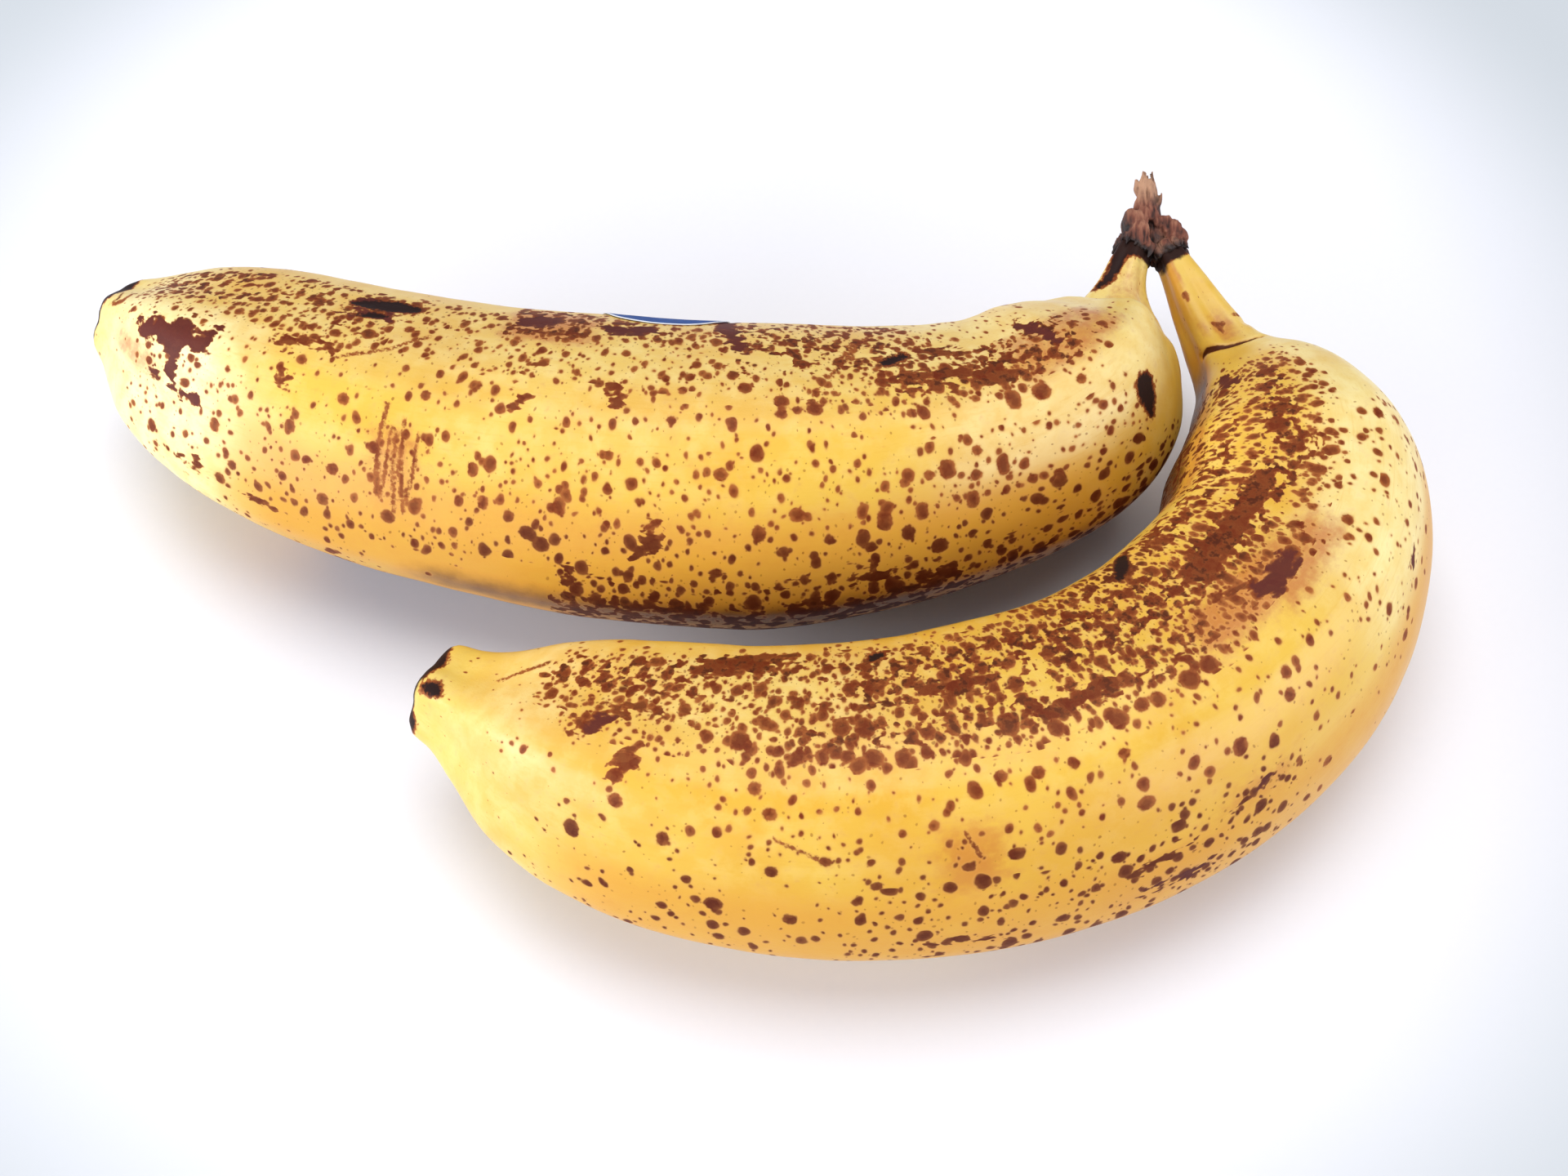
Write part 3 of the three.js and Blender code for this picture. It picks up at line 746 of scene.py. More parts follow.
# %% Words for shader nodes
class Recipe:
    """A node tree that is written step by step. Every step gives back the socket that it made."""

    def __init__(self, tree):
        self.tree = tree

    def node(self, kind, **settings):
        made = self.tree.nodes.new("ShaderNode" + kind)
        for name, value in settings.items():
            setattr(made, name, value)
        return made

    def feed(self, socket, value):
        if isinstance(value, bpy.types.NodeSocket):
            self.tree.links.new(value, socket)
        else:
            socket.default_value = value

    def math(self, operation, *values):
        made = self.node("Math", operation=operation)
        for socket, value in zip(made.inputs, values):
            self.feed(socket, value)
        return made.outputs[0]

    def vector(self, operation, *values):
        made = self.node("VectorMath", operation=operation)
        for socket, value in zip(made.inputs, values):
            self.feed(socket, value)
        return made.outputs[0]

    def scaled(self, vector, factor):
        made = self.node("VectorMath", operation="SCALE")
        self.feed(made.inputs[0], vector)
        self.feed(made.inputs["Scale"], factor)
        return made.outputs[0]

    def step(self, value, low, high, start=0.0, stop=1.0):
        """A smooth step of value between low and high, giving start to stop."""
        made = self.node("MapRange", interpolation_type="SMOOTHSTEP")
        for socket, given in zip(made.inputs, (value, low, high, start, stop)):
            self.feed(socket, given)
        return made.outputs[0]

    def mix(self, share, first, second):
        """Two colours. The Mix node has sockets for every kind, and those of colours are 6 and 7."""
        made = self.node("Mix", data_type="RGBA")
        self.feed(made.inputs[0], share)
        self.feed(made.inputs[6], first)
        self.feed(made.inputs[7], second)
        return made.outputs[2]

    def blend(self, share, first, second):
        """Two numbers."""
        made = self.node("Mix", data_type="FLOAT")
        self.feed(made.inputs[0], share)
        self.feed(made.inputs[2], first)
        self.feed(made.inputs[3], second)
        return made.outputs[0]

    def joined(self, first, second, softness):
        """The larger of two edge distances, rounded where they meet."""
        return self.math("SMOOTH_MAX", first, second, softness)

    def noise(self, where, per_mm, detail=2.0, rough=0.5):
        made = self.node("TexNoise")
        self.feed(made.inputs["Vector"], where)
        self.feed(made.inputs["Scale"], per_mm)
        self.feed(made.inputs["Detail"], detail)
        self.feed(made.inputs["Roughness"], rough)
        return made

    def attribute(self, name, output="Fac"):
        return self.node("Attribute", attribute_name=name).outputs[output]

    def group(self, group, **values):
        """A node group with its inputs fed by name, in small letters: per_mm feeds Per mm."""
        made = self.node("Group", node_tree=group)
        for name, value in values.items():
            self.feed(made.inputs[name.replace("_", " ").capitalize()], value)
        return made.outputs


print("words of a recipe:", [word for word in vars(Recipe) if not word.startswith("_")])


# %% Paint, node groups and finishes
def paint(code):
    """A colour written as on a paint card, #rrggbb, as the linear numbers that a shader takes."""
    parts = [int(code[k : k + 2], 16) / 255 for k in (1, 3, 5)]
    return tuple(p / 12.92 if p <= 0.04045 else ((p + 0.055) / 1.055) ** 2.4 for p in parts) + (1.0,)


def new_group(name, inputs, outputs):
    """An empty shader node group, with its recipe and its two end nodes."""
    tree = bpy.data.node_groups.new(name, "ShaderNodeTree")
    for title, kind in inputs:
        tree.interface.new_socket(title, in_out="INPUT", socket_type="NodeSocket" + kind)
    for title, kind in outputs:
        tree.interface.new_socket(title, in_out="OUTPUT", socket_type="NodeSocket" + kind)
    given = tree.nodes.new("NodeGroupInput").outputs
    result = tree.nodes.new("NodeGroupOutput").inputs
    return tree, Recipe(tree), given, result


def new_finish(name):
    """An empty material, with its recipe and the shader that the recipe feeds."""
    material = bpy.data.materials.new(name)
    material.use_nodes = True
    material.node_tree.nodes.clear()
    recipe = Recipe(material.node_tree)
    shader = recipe.node("BsdfPrincipled")
    recipe.feed(recipe.node("OutputMaterial").inputs[0], shader.outputs[0])
    return material, recipe, shader


print("a golden skin is", [round(value, 3) for value in paint("#d9b046")])

# %% [markdown]
# ## Freckles
#
# A sugar freckle is a small round patch of dead skin cells. Freckles of one age are much the same size
# and keep some distance from each other, which is what a Voronoi texture gives: one centre to a cell.
# Each cell rolls its own dice for whether it has a freckle and how wide it is. What comes out is the
# distance to the freckle's edge in millimetres, so layers of different sizes can be joined by taking
# the larger, and they flow together where they touch, as the real ones do.

# %% The freckle group
freckle_group, mixer, given, result = new_group(
    "Freckle layer",
    [
        ("Place", "Vector"), ("Turn", "Float"), ("Spacing", "Float"), ("Smallest", "Float"),
        ("Largest", "Float"), ("Share", "Float"),
    ],
    [("Edge", "Float"), ("Tone", "Float")],
)
turned = mixer.node("VectorRotate", rotation_type="Z_AXIS")
mixer.feed(turned.inputs["Vector"], given["Place"])
mixer.feed(turned.inputs["Angle"], given["Turn"])
cells = mixer.node("TexVoronoi", voronoi_dimensions="2D", feature="F1")
per_cell = mixer.math("DIVIDE", 1.0, given["Spacing"])
mixer.feed(cells.inputs["Vector"], mixer.scaled(turned.outputs[0], per_cell))
mixer.feed(cells.inputs["Scale"], 1.0)
mixer.feed(cells.inputs["Randomness"], 0.6)
chance = mixer.node("SeparateColor")
mixer.feed(chance.inputs[0], cells.outputs["Color"])
NO_FRECKLE = -1.5
has_freckle = mixer.step(mixer.math("SUBTRACT", given["Share"], chance.outputs["Red"]), -0.03, 0.03)
wide = mixer.blend(mixer.math("POWER", chance.outputs["Green"], 1.4), given["Smallest"], given["Largest"])
reach = mixer.blend(has_freckle, NO_FRECKLE, wide)
from_centre = mixer.math("MULTIPLY", cells.outputs["Distance"], given["Spacing"])
mixer.feed(result["Edge"], mixer.math("SUBTRACT", reach, from_centre))
mixer.feed(result["Tone"], chance.outputs["Blue"])
print("made", freckle_group.name)

# %% [markdown]
# ## Ragged edges and fibres
#
# Two more effects are shared. Ragged edge takes the smooth distance of a stroke and frays it with noise
# before cutting it, so a bruise ends in specks and not in a clean curve. Fibres is a noise stretched
# along the growth of the plant, used faintly on the skin and strongly on the dried stalk.

# %% The ragged edge group
ragged_group, mixer, given, result = new_group(
    "Ragged edge",
    [("Place", "Vector"), ("Edge", "Float"), ("Fray", "Float"), ("Grain", "Float"), ("Softness", "Float")],
    [("Mask", "Float")],
)
fray = mixer.noise(given["Place"], given["Grain"], 3.0, 0.6)
frayed = mixer.math("SUBTRACT", fray.outputs["Fac"], 0.5)
frayed = mixer.math("MULTIPLY_ADD", frayed, given["Fray"], given["Edge"])
low = mixer.math("MULTIPLY", given["Softness"], -1.0)
mixer.feed(result["Mask"], mixer.step(frayed, low, given["Softness"]))
print("made", ragged_group.name)

# %% The fibre group
fibre_group, mixer, given, result = new_group(
    "Fibres",
    [("Place", "Vector"), ("Per mm", "Float"), ("Stretch", "Float")],
    [("Strand", "Float")],
)
squeeze = mixer.node("CombineXYZ")
mixer.feed(squeeze.inputs[0], mixer.math("DIVIDE", 1.0, given["Stretch"]))
mixer.feed(squeeze.inputs[1], 1.0)
mixer.feed(squeeze.inputs[2], 1.0)
along_grain = mixer.vector("MULTIPLY", given["Place"], squeeze.outputs[0])
mixer.feed(result["Strand"], mixer.noise(along_grain, given["Per mm"], 3.0, 0.65).outputs["Fac"])
print("made", fibre_group.name)

# %% [markdown]
# ## The skin of a ripe banana: live skin
#
# The skin is built up in layers, from below to above, as it ripened. Live skin comes first. It is
# golden, mottled at two sizes and greenish near both ends. It is paler in broad patches, most at the
# ends and on the outer shoulders: partly real wax bloom, partly a painted highlight where the lamps
# glare. Then come tints: stains, and ochre and brown on the undersides and on the flanks that face the
# other fruit, which are partly real browning of the skin and partly painted shade. Every pattern is read
# in the fruit's own straightened space, pushed about a little by noise so that nothing in it is quite
# round.

# %% Live skin
skin, mixer, surface = new_finish("ripe_banana_skin")
GOLD = paint("#d9b046")
PALE_GOLD = paint("#e6c974")
DEEP_GOLD = paint("#d29f34")
GREENISH = paint("#d6c468")
WAX_AND_HIGHLIGHT = paint("#f2e8b0")
STAIN = paint("#b05a26")
# Ochre and dark brown for skin that is partly really browned and partly in painted shade.
OCHRE_AND_SHADE = paint("#cf9433")
BROWN_AND_SHADE = paint("#4e230d")
place = mixer.attribute("place", "Vector")
freckled = mixer.attribute("freckles")
broad = mixer.noise(place, 0.045, 3.0, 0.55).outputs["Fac"]
mottle = mixer.noise(place, 0.35, 4.0, 0.6).outputs["Fac"]
run = mixer.attribute("run")
at_ends = mixer.math("MAXIMUM", mixer.step(run, 0.1, 0.0, 0.0, 0.35), mixer.step(run, 0.9, 1.0, 0.0, 0.35))
# Painted highlight with some real wax bloom: paler skin where the lamps glare, broken up by the mottle.
wax_and_highlight_share = mixer.math("MULTIPLY", mixer.attribute("pale"), mixer.step(mottle, 0.2, 0.8, 0.45, 0.95))
fibre = mixer.group(fibre_group, place=place, per_mm=2.2, stretch=26.0)["Strand"]
stain_edge = mixer.math("SUBTRACT", mixer.attribute("stains"), 0.5)
stained = mixer.group(ragged_group, place=place, edge=stain_edge, fray=1.4, grain=0.7, softness=0.5)["Mask"]
# Painted shade mixed with real browning: undersides and flanks facing the other fruit turn ochre, then dark
# brown.
browned = mixer.math("MULTIPLY_ADD", mixer.math("SUBTRACT", mottle, 0.5), 0.3, mixer.attribute("browned"))
colour = mixer.mix(mixer.step(broad, 0.35, 0.65), DEEP_GOLD, GOLD)
colour = mixer.mix(mixer.step(mottle, 0.4, 0.75, 0.0, 0.4), colour, PALE_GOLD)
colour = mixer.mix(at_ends, colour, GREENISH)
colour = mixer.mix(wax_and_highlight_share, colour, WAX_AND_HIGHLIGHT)
colour = mixer.mix(mixer.step(fibre, 0.52, 0.7, 0.0, 0.2), colour, DEEP_GOLD)
colour = mixer.mix(mixer.math("MULTIPLY", stained, 0.75), colour, STAIN)
colour = mixer.mix(mixer.step(browned, 0.05, 0.6), colour, OCHRE_AND_SHADE)
colour = mixer.mix(mixer.step(browned, 0.5, 1.0, 0.0, 0.9), colour, BROWN_AND_SHADE)
print("live skin:", len(skin.node_tree.nodes), "nodes")

# %% [markdown]
# ## Freckles in five sizes
#
# Five layers of the freckle group lie over each other, each with its own spacing and turned its own
# way, so that no grid shows. Where the freckle density is full, almost every cell has one, and they are
# wider. The lone spots of the tables join them. All of this is still one number, the distance to the
# nearest edge of dead skin.

# %% Freckles in five sizes
ripple = mixer.vector("SUBTRACT", mixer.noise(place, 0.9, 1.0, 0.5).outputs["Color"], (0.5, 0.5, 0.5))
ripple = mixer.scaled(ripple, mixer.math("MULTIPLY_ADD", freckled, 0.25, 0.2))
swell = mixer.vector("SUBTRACT", mixer.noise(place, 0.33, 1.0, 0.5).outputs["Color"], (0.5, 0.5, 0.5))
drift = mixer.vector("ADD", ripple, swell)
laid_flat = mixer.vector("ADD", mixer.attribute("unrolled", "Vector"), drift)
laid_flat = mixer.vector("MULTIPLY", laid_flat, (1.12, 0.9, 0.0))
crowding = mixer.math("MULTIPLY", mixer.math("ABSOLUTE", freckled), freckled)


def freckle_layer(turn, spacing, smallest, largest, share):
    """One size of freckle. Smallest and largest are pairs: in clear skin, and added where it is full."""
    low, high = [mixer.math("MULTIPLY_ADD", freckled, full, clear) for clear, full in (smallest, largest)]
    common = mixer.math("MULTIPLY_ADD", crowding, 0.85, share)
    return mixer.group(
        freckle_group, place=laid_flat, turn=turn, spacing=spacing, smallest=low, largest=high, share=common
    )


def winning(first, second, first_tone, second_tone):
    """The tone of whichever of two edges lies further out."""
    ahead = mixer.math("SUBTRACT", second, first)
    return mixer.blend(mixer.step(ahead, -0.1, 0.1), first_tone, second_tone)


large = freckle_layer(turn=0.0, spacing=3.3, smallest=(0.35, 0.2), largest=(0.8, 0.3), share=0.02)
second = freckle_layer(turn=0.7, spacing=2.6, smallest=(0.28, 0.17), largest=(0.6, 0.28), share=0.03)
third = freckle_layer(turn=1.9, spacing=1.9, smallest=(0.18, 0.14), largest=(0.42, 0.22), share=0.04)
fourth = freckle_layer(turn=2.6, spacing=1.35, smallest=(0.1, 0.1), largest=(0.28, 0.16), share=0.05)
small = freckle_layer(turn=4.1, spacing=0.95, smallest=(0.06, 0.04), largest=(0.15, 0.1), share=0.06)
spot_tone = winning(large["Edge"], second["Edge"], large["Tone"], second["Tone"])
spot_edge = mixer.joined(large["Edge"], second["Edge"], 0.4)
spot_tone = winning(spot_edge, third["Edge"], spot_tone, third["Tone"])
spot_edge = mixer.joined(spot_edge, third["Edge"], 0.3)
spot_edge = mixer.joined(spot_edge, fourth["Edge"], 0.2)


def torn(kind, fray, tearing):
    """The distance to the edge of one kind of mark, frayed by a noise."""
    return mixer.math("MULTIPLY_ADD", mixer.math("SUBTRACT", tearing, 0.5), fray, mixer.attribute(kind))


spot_edge = mixer.joined(spot_edge, torn("spots", 0.5, mixer.noise(place, 1.3, 2.0).outputs["Fac"]), 0.2)
print("with freckles:", len(skin.node_tree.nodes), "nodes")

# %% [markdown]
# ## Smears, bruises, scratches and slits
#
# Freckles of old skin have grown until they touch. So where a smear density is high, a lacy noise adds
# up to a millimetre to every freckle's reach. The strokes of the tables join the same distance, each
# frayed by a noise of its own size.

# %% Smears, bruises, scratches and slits
smearing = mixer.attribute("smears")
lace_place = mixer.vector("MULTIPLY", mixer.vector("ADD", place, drift), (0.6, 1.0, 1.0))
lace = mixer.noise(lace_place, 0.9, 2.0, 0.45).outputs["Fac"]
tearing = mixer.noise(place, 1.6, 3.0, 0.6).outputs["Fac"]
needed = mixer.math("MULTIPLY_ADD", smearing, -0.36, 0.86)
growth = mixer.step(mixer.math("SUBTRACT", lace, needed), -0.1, 0.2, 0.0, 1.1)
bruise_edge = torn("bruises", 5.0, lace)
crease_edge = torn("creases", 0.3, tearing)
black_edge = torn("black", 1.6, tearing)
dead_edge = mixer.math("ADD", spot_edge, growth)
dead_edge = mixer.joined(dead_edge, torn("smear_strokes", 5.0, lace), 0.4)
dead_edge = mixer.joined(dead_edge, bruise_edge, 0.3)
thin_edge = mixer.math("MAXIMUM", torn("scratches", 0.9, tearing), crease_edge)
dead_edge = mixer.joined(dead_edge, thin_edge, 0.1)
dead_edge = mixer.joined(dead_edge, mixer.math("ADD", black_edge, 0.25), 0.2)
print("with strokes:", len(skin.node_tree.nodes), "nodes")

# %% [markdown]
# ## The colours of dead skin
#
# Dead skin has a tan halo where it is spreading, then a red-brown body that darkens toward its middle.
# It is darkest in bruises, folds and black slits, where the skin is ripest, and at both cut ends of the
# fruit.

# %% The colours of dead skin
HALO = paint("#cf9048")
FRECKLE = paint("#6e280a")
FRECKLE_LIGHT = paint("#a9632f")
FRECKLE_DARK = paint("#3f1608")
SMEAR = paint("#5e2008")
BRUISE = paint("#522220")
CREASE = paint("#3a1a0a")
BLACK = paint("#24120f")
SPECK = paint("#b07c34")
CUT_END = paint("#2a1712")
halo = mixer.step(dead_edge, -0.35, 0.05, 0.0, mixer.math("MULTIPLY_ADD", freckled, 0.15, 0.35))
ageing = mixer.noise(place, 0.8, 3.0, 0.6).outputs["Fac"]
tone = mixer.blend(0.5, spot_tone, mixer.step(ageing, 0.35, 0.65))
ripest = mixer.math("MULTIPLY", mixer.attribute("ripest"), 0.58)
darkest = mixer.math("MULTIPLY", mixer.step(ageing, 0.48, 0.62), mixer.step(smearing, 0.3, 0.9, 0.15, 0.8))
heart = mixer.mix(tone, FRECKLE, FRECKLE_LIGHT)
heart = mixer.mix(mixer.step(dead_edge, 0.1, 0.6, 0.0, 0.6), heart, SMEAR)
heart = mixer.mix(mixer.math("MAXIMUM", ripest, darkest), heart, FRECKLE_DARK)
heart = mixer.mix(mixer.step(bruise_edge, -0.4, 0.6, 0.0, 0.75), heart, BRUISE)
heart = mixer.mix(mixer.step(crease_edge, -0.1, 0.2, 0.0, 0.8), heart, CREASE)
heart = mixer.mix(mixer.step(black_edge, -0.1, 0.4), heart, BLACK)
spotted = mixer.step(dead_edge, -0.12, 0.14)
clear_of_spots = mixer.math("SUBTRACT", 1.0, spotted)
specks = mixer.math("MULTIPLY", mixer.step(small["Edge"], -0.05, 0.08, 0.0, 0.6), clear_of_spots)
speck_colour = mixer.mix(mixer.math("MAXIMUM", small["Tone"], freckled), SPECK, FRECKLE)
end_ring = mixer.math("MULTIPLY_ADD", mixer.noise(place, 0.5, 3.0).outputs["Fac"], 0.012, 0.989)
neck_ring = mixer.math("MULTIPLY_ADD", mixer.noise(place, 0.45, 3.0).outputs["Fac"], 0.02, 0.004)
dried_end = mixer.step(mixer.math("SUBTRACT", run, end_ring), 0.0, 0.004)
dried_neck = mixer.step(mixer.math("SUBTRACT", neck_ring, run), -0.002, 0.004)
dried = mixer.math("MAXIMUM", dried_end, dried_neck)
colour = mixer.mix(halo, colour, HALO)
colour = mixer.mix(spotted, colour, heart)
colour = mixer.mix(specks, colour, speck_colour)
colour = mixer.mix(dried, colour, CUT_END)
mixer.feed(surface.inputs["Base Color"], colour)
print("with colours:", len(skin.node_tree.nodes), "nodes")

# %% [markdown]
# ## Gloss and pores
#
# Live skin is waxy, so it has a thin coat with a broad soft gloss. Dead skin has lost it. The finest
# relief is too small for the mesh, so it is a bump: pores, the fibres under the skin, and the lone
# spots, which sink.

# %% Gloss and pores
dead = mixer.math("MAXIMUM", spotted, dried)
wax_roughness = mixer.math("MULTIPLY_ADD", mottle, 0.12, 0.34)
mixer.feed(surface.inputs["Roughness"], mixer.blend(dead, wax_roughness, 0.6))
mixer.feed(surface.inputs["Coat Weight"], mixer.blend(mixer.math("MAXIMUM", dead, specks), 0.3, 0.03))
surface.inputs["Coat Roughness"].default_value = 0.3
surface.inputs["Specular IOR Level"].default_value = 0.12
pores = mixer.noise(place, 2.6, 3.0, 0.6).outputs["Fac"]
height = mixer.math("MULTIPLY_ADD", fibre, 0.5, mixer.math("MULTIPLY", pores, 0.5))
height = mixer.math("SUBTRACT", height, mixer.step(mixer.attribute("spots"), -0.1, 0.2, 0.0, 0.35))
bump = mixer.node("Bump")
mixer.feed(bump.inputs["Height"], height)
mixer.feed(bump.inputs["Distance"], 0.06 * MM)
mixer.feed(bump.inputs["Strength"], 0.8)
mixer.feed(surface.inputs["Normal"], bump.outputs[0])
for fruit_piece, node in ((front_fruit, "banana_front"), (back_fruit, "banana_back")):
    fruit_piece.data.materials.append(skin)
    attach(fruit_piece, "root")
    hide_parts(node)
print("the skin material has", len(skin.node_tree.nodes), "nodes")

# %% [markdown]
# ## The crown
#
# The crown is what is left of the stalk that the whole bunch hung from: a dried woody knob, torn from
# the bunch with a ragged stub of fibres, and a collar over the top of each pedicel. Nothing about it is
# regular, so it is built as a sculptor would build it, by pressing lumps and strands together. A voxel
# remesh makes one skin of them, and noise drawn out along the fibres then cuts that skin into splits
# and ridges.

# %% Lumps and strands
KNOB_CENTRE = Vector((59.1, 51.6, 25.7))
STUB_TOP = Vector((59.6, 59.2, 28.3))
FIBRE_WAY = (STUB_TOP - KNOB_CENTRE).normalized()
CROWN_VOXEL = 0.13
STRAND_SIDES = 9


def lump(shape, centre, half, squareness):
    """A rounded block: an ellipsoid at squareness 2, and nearer to a box above that."""
    made = bmesh.ops.create_icosphere(shape, subdivisions=4, radius=1.0)["verts"]
    for vertex in made:
        size = sum(abs(part) ** squareness for part in vertex.co) ** (1 / squareness)
        vertex.co = Vector(centre) + Vector(c / size * h for c, h in zip(vertex.co, half))


def outward_ways(way, turns):
    """Directions square to way, a unit vector, with one for each of the turns round it."""
    side = way.orthogonal().normalized()
    other = way.cross(side)
    return [math.cos(turn) * side + math.sin(turn) * other for turn in turns]


def strand(shape, path, radii):
    """A closed tube through the points of path, with a radius at each."""
    turns = [2 * math.pi * n / STRAND_SIDES for n in range(STRAND_SIDES)]
    rings = []
    for k, (point, radius) in enumerate(zip(path, radii)):
        way = (path[min(k + 1, len(path) - 1)] - path[max(k - 1, 0)]).normalized()
        rings.append([shape.verts.new(point + radius * out) for out in outward_ways(way, turns)])
    for low, high in zip(rings[:-1], rings[1:]):
        for n in range(STRAND_SIDES):
            after = (n + 1) % STRAND_SIDES
            shape.faces.new((low[n], low[after], high[after], high[n]))
    shape.faces.new(rings[0][::-1])
    shape.faces.new(rings[-1])


def pedicel_top(fruit):
    """The middle of a pedicel's cut end and the direction down the pedicel, in mm."""
    start = np.zeros(1)
    x, y, _ = middle_line(fruit, start)
    ahead = directions(fruit, start)[0][0]
    return Vector((float(x[0]), float(y[0]), float(height_at(fruit, start)[0]))), Vector(ahead)


print("the stub leans", round(math.degrees(FIBRE_WAY.angle(Vector((0, 0, 1))))), "degrees from upright")

# %% Pressing the crown together
SPLINTERS = [
    ([(60.4, 53.0, 26.4), (61.2, 54.6, 27.0), (61.5, 56.0, 27.5)], [0.7, 0.45, 0.15]),
    ([(58.5, 54.8, 26.9), (57.9, 56.4, 27.7), (57.9, 57.9, 28.2)], [0.5, 0.6, 0.2]),
]
LUMPS = [
    ((57.5, 51.2, 25.6), (1.9, 1.7, 2.4), 3.2),
    ((57.2, 49.6, 25.2), (1.5, 2.0, 2.1), 2.6),
    ((59.3, 52.2, 25.8), (1.9, 1.6, 2.4), 2.6),
    ((61.1, 51.0, 25.6), (1.7, 1.2, 2.0), 2.8),
    ((60.1, 49.4, 24.9), (1.3, 2.0, 1.6), 2.4),
    ((57.8, 48.5, 26.6), (1.25, 2.6, 1.7), 2.4),
    ((62.6, 50.1, 25.3), (1.9, 1.4, 2.1), 2.8),
    ((63.2, 49.2, 25.0), (1.7, 1.3, 2.1), 3.0),
]
LOOSE_FIBRES = 22
FLAPS = 13
dice = np.random.default_rng(7)


def torn_stub(shape):
    """The core of the stub, and the loose fibres round it, which end at different heights."""
    core = [KNOB_CENTRE.lerp(STUB_TOP, share) for share in (0.0, 0.45, 0.85)]
    strand(shape, core, [2.3, 1.35, 0.7])
    for n in range(LOOSE_FIBRES):
        angle = 2 * math.pi * n / LOOSE_FIBRES + dice.uniform(-0.2, 0.2)
        out = outward_ways(FIBRE_WAY, [angle])[0]
        foot = KNOB_CENTRE + 1.7 * out + 1.2 * FIBRE_WAY
        tip = KNOB_CENTRE.lerp(STUB_TOP, dice.uniform(0.55, 1.04)) + dice.uniform(0.1, 0.8) * out
        bulge = foot.lerp(tip, 0.5) + dice.uniform(-0.3, 0.25) * out
        thick = dice.uniform(0.28, 0.5)
        strand(shape, [foot, bulge, tip], [thick * 1.5, thick, thick * 0.45])
    for path, radii in SPLINTERS:
        strand(shape, [Vector(place) for place in path], radii)


def collar(shape, fruit, reach):
    """The dried collar over the top of one pedicel, with torn flaps that lie along it."""
    top, down = pedicel_top(fruit)
    radius = float(girth_at(fruit, np.zeros(1))[0])
    band = [top + run * down for run in (-2.2, -0.6, 0.7)]
    strand(shape, band, [1.5, radius + 0.45, radius + 0.3])
    for n in range(FLAPS):
        angle = 2 * math.pi * n / FLAPS + dice.uniform(-0.15, 0.15)
        out = outward_ways(down, [angle])[0]
        foot = top + (radius + 0.1) * out - 0.8 * down
        end = top + (radius + 0.42) * out + dice.uniform(0.5, reach) * down
        strand(shape, [foot, foot.lerp(end, 0.5) + 0.12 * out, end], [0.6, 0.45, 0.14])


crown_shape = bmesh.new()
for centre, half, squareness in LUMPS:
    lump(crown_shape, centre, half, squareness)
torn_stub(crown_shape)
collar(crown_shape, FRONT_FRUIT, 1.6)
collar(crown_shape, BACK_FRUIT, 1.9)
bmesh.ops.scale(crown_shape, vec=Vector((MM, MM, MM)), verts=crown_shape.verts)
crown_mesh = bpy.data.meshes.new("crown_stalk")
crown_shape.to_mesh(crown_mesh)
crown_shape.free()
crown = bpy.data.objects.new("crown_stalk", crown_mesh)
bpy.context.scene.collection.objects.link(crown)
print("lumps and strands:", len(crown_mesh.polygons), "faces")


# %% One skin for the crown, split along its fibres
def apply_modifiers(piece):
    """Puts the result of a piece's modifiers in its place."""
    graph = bpy.context.evaluated_depsgraph_get()
    made = bpy.data.meshes.new_from_object(piece.evaluated_get(graph))
    piece.modifiers.clear()
    piece.data = made


def along_fibres(place, stretch):
    """The place with its part along the fibres drawn out, so that noise there runs along them."""
    return place - FIBRE_WAY * (place.dot(FIBRE_WAY) * (1 - 1 / stretch))


def split_along_fibres(piece):
    crests = []
    moved = []
    for vertex in piece.data.vertices:
        place = vertex.co / MM
        drawn = along_fibres(place, 3.5)
        chunk = noise.noise(place / 2.3)
        split = 1 - 2 * abs(noise.noise(drawn / 0.95))
        fine = noise.noise(drawn / 0.38)
        crests.append(0.45 * chunk + 0.35 * split + 0.3 * fine)
        moved.append(vertex.co + vertex.normal * MM * (0.42 * chunk + 0.2 * split + 0.1 * fine - 0.12))
    for vertex, place in zip(piece.data.vertices, moved):
        vertex.co = place
    keep_values(piece, "crest", np.array(crests))


remesh = crown.modifiers.new("one_skin", "REMESH")
remesh.mode = "VOXEL"
remesh.voxel_size = CROWN_VOXEL * MM
apply_modifiers(crown)
split_along_fibres(crown)
crown.data.polygons.foreach_set("use_smooth", [True] * len(crown.data.polygons))
print("crown:", len(crown.data.polygons), "faces")

# %% Where the sap dried
pedicel_tops = [pedicel_top(fruit) for fruit in (FRONT_FRUIT, BACK_FRUIT)]
SAP_LINES = [
    (Vector((60.3, 51.4, 25.4)), Vector((60.2, 47.6, 25.0))),
    (Vector((56.2, 51.6, 26.2)), Vector((55.9, 48.0, 25.6))),
]
SAP_REACH = 1.3
CLEAN_LOBE = (Vector((58.2, 50.5, 28.0)), Vector((58.3, 47.0, 28.0)))
CLEAN_REACH = 1.5


def distance_to(line, place):
    return (place - geometry.intersect_point_line(place, *line)[0]).length


def within_sap(place):
    """How far a place lies inside the sap that dried in the cleft and down one flank, in mm."""
    return SAP_REACH - min(distance_to(line, place) for line in SAP_LINES)


def on_clean_lobe(place):
    """How far a place lies inside the lobe that the sap never reached, in mm."""
    return 2.0 * max(CLEAN_REACH - distance_to(CLEAN_LOBE, place), 0)


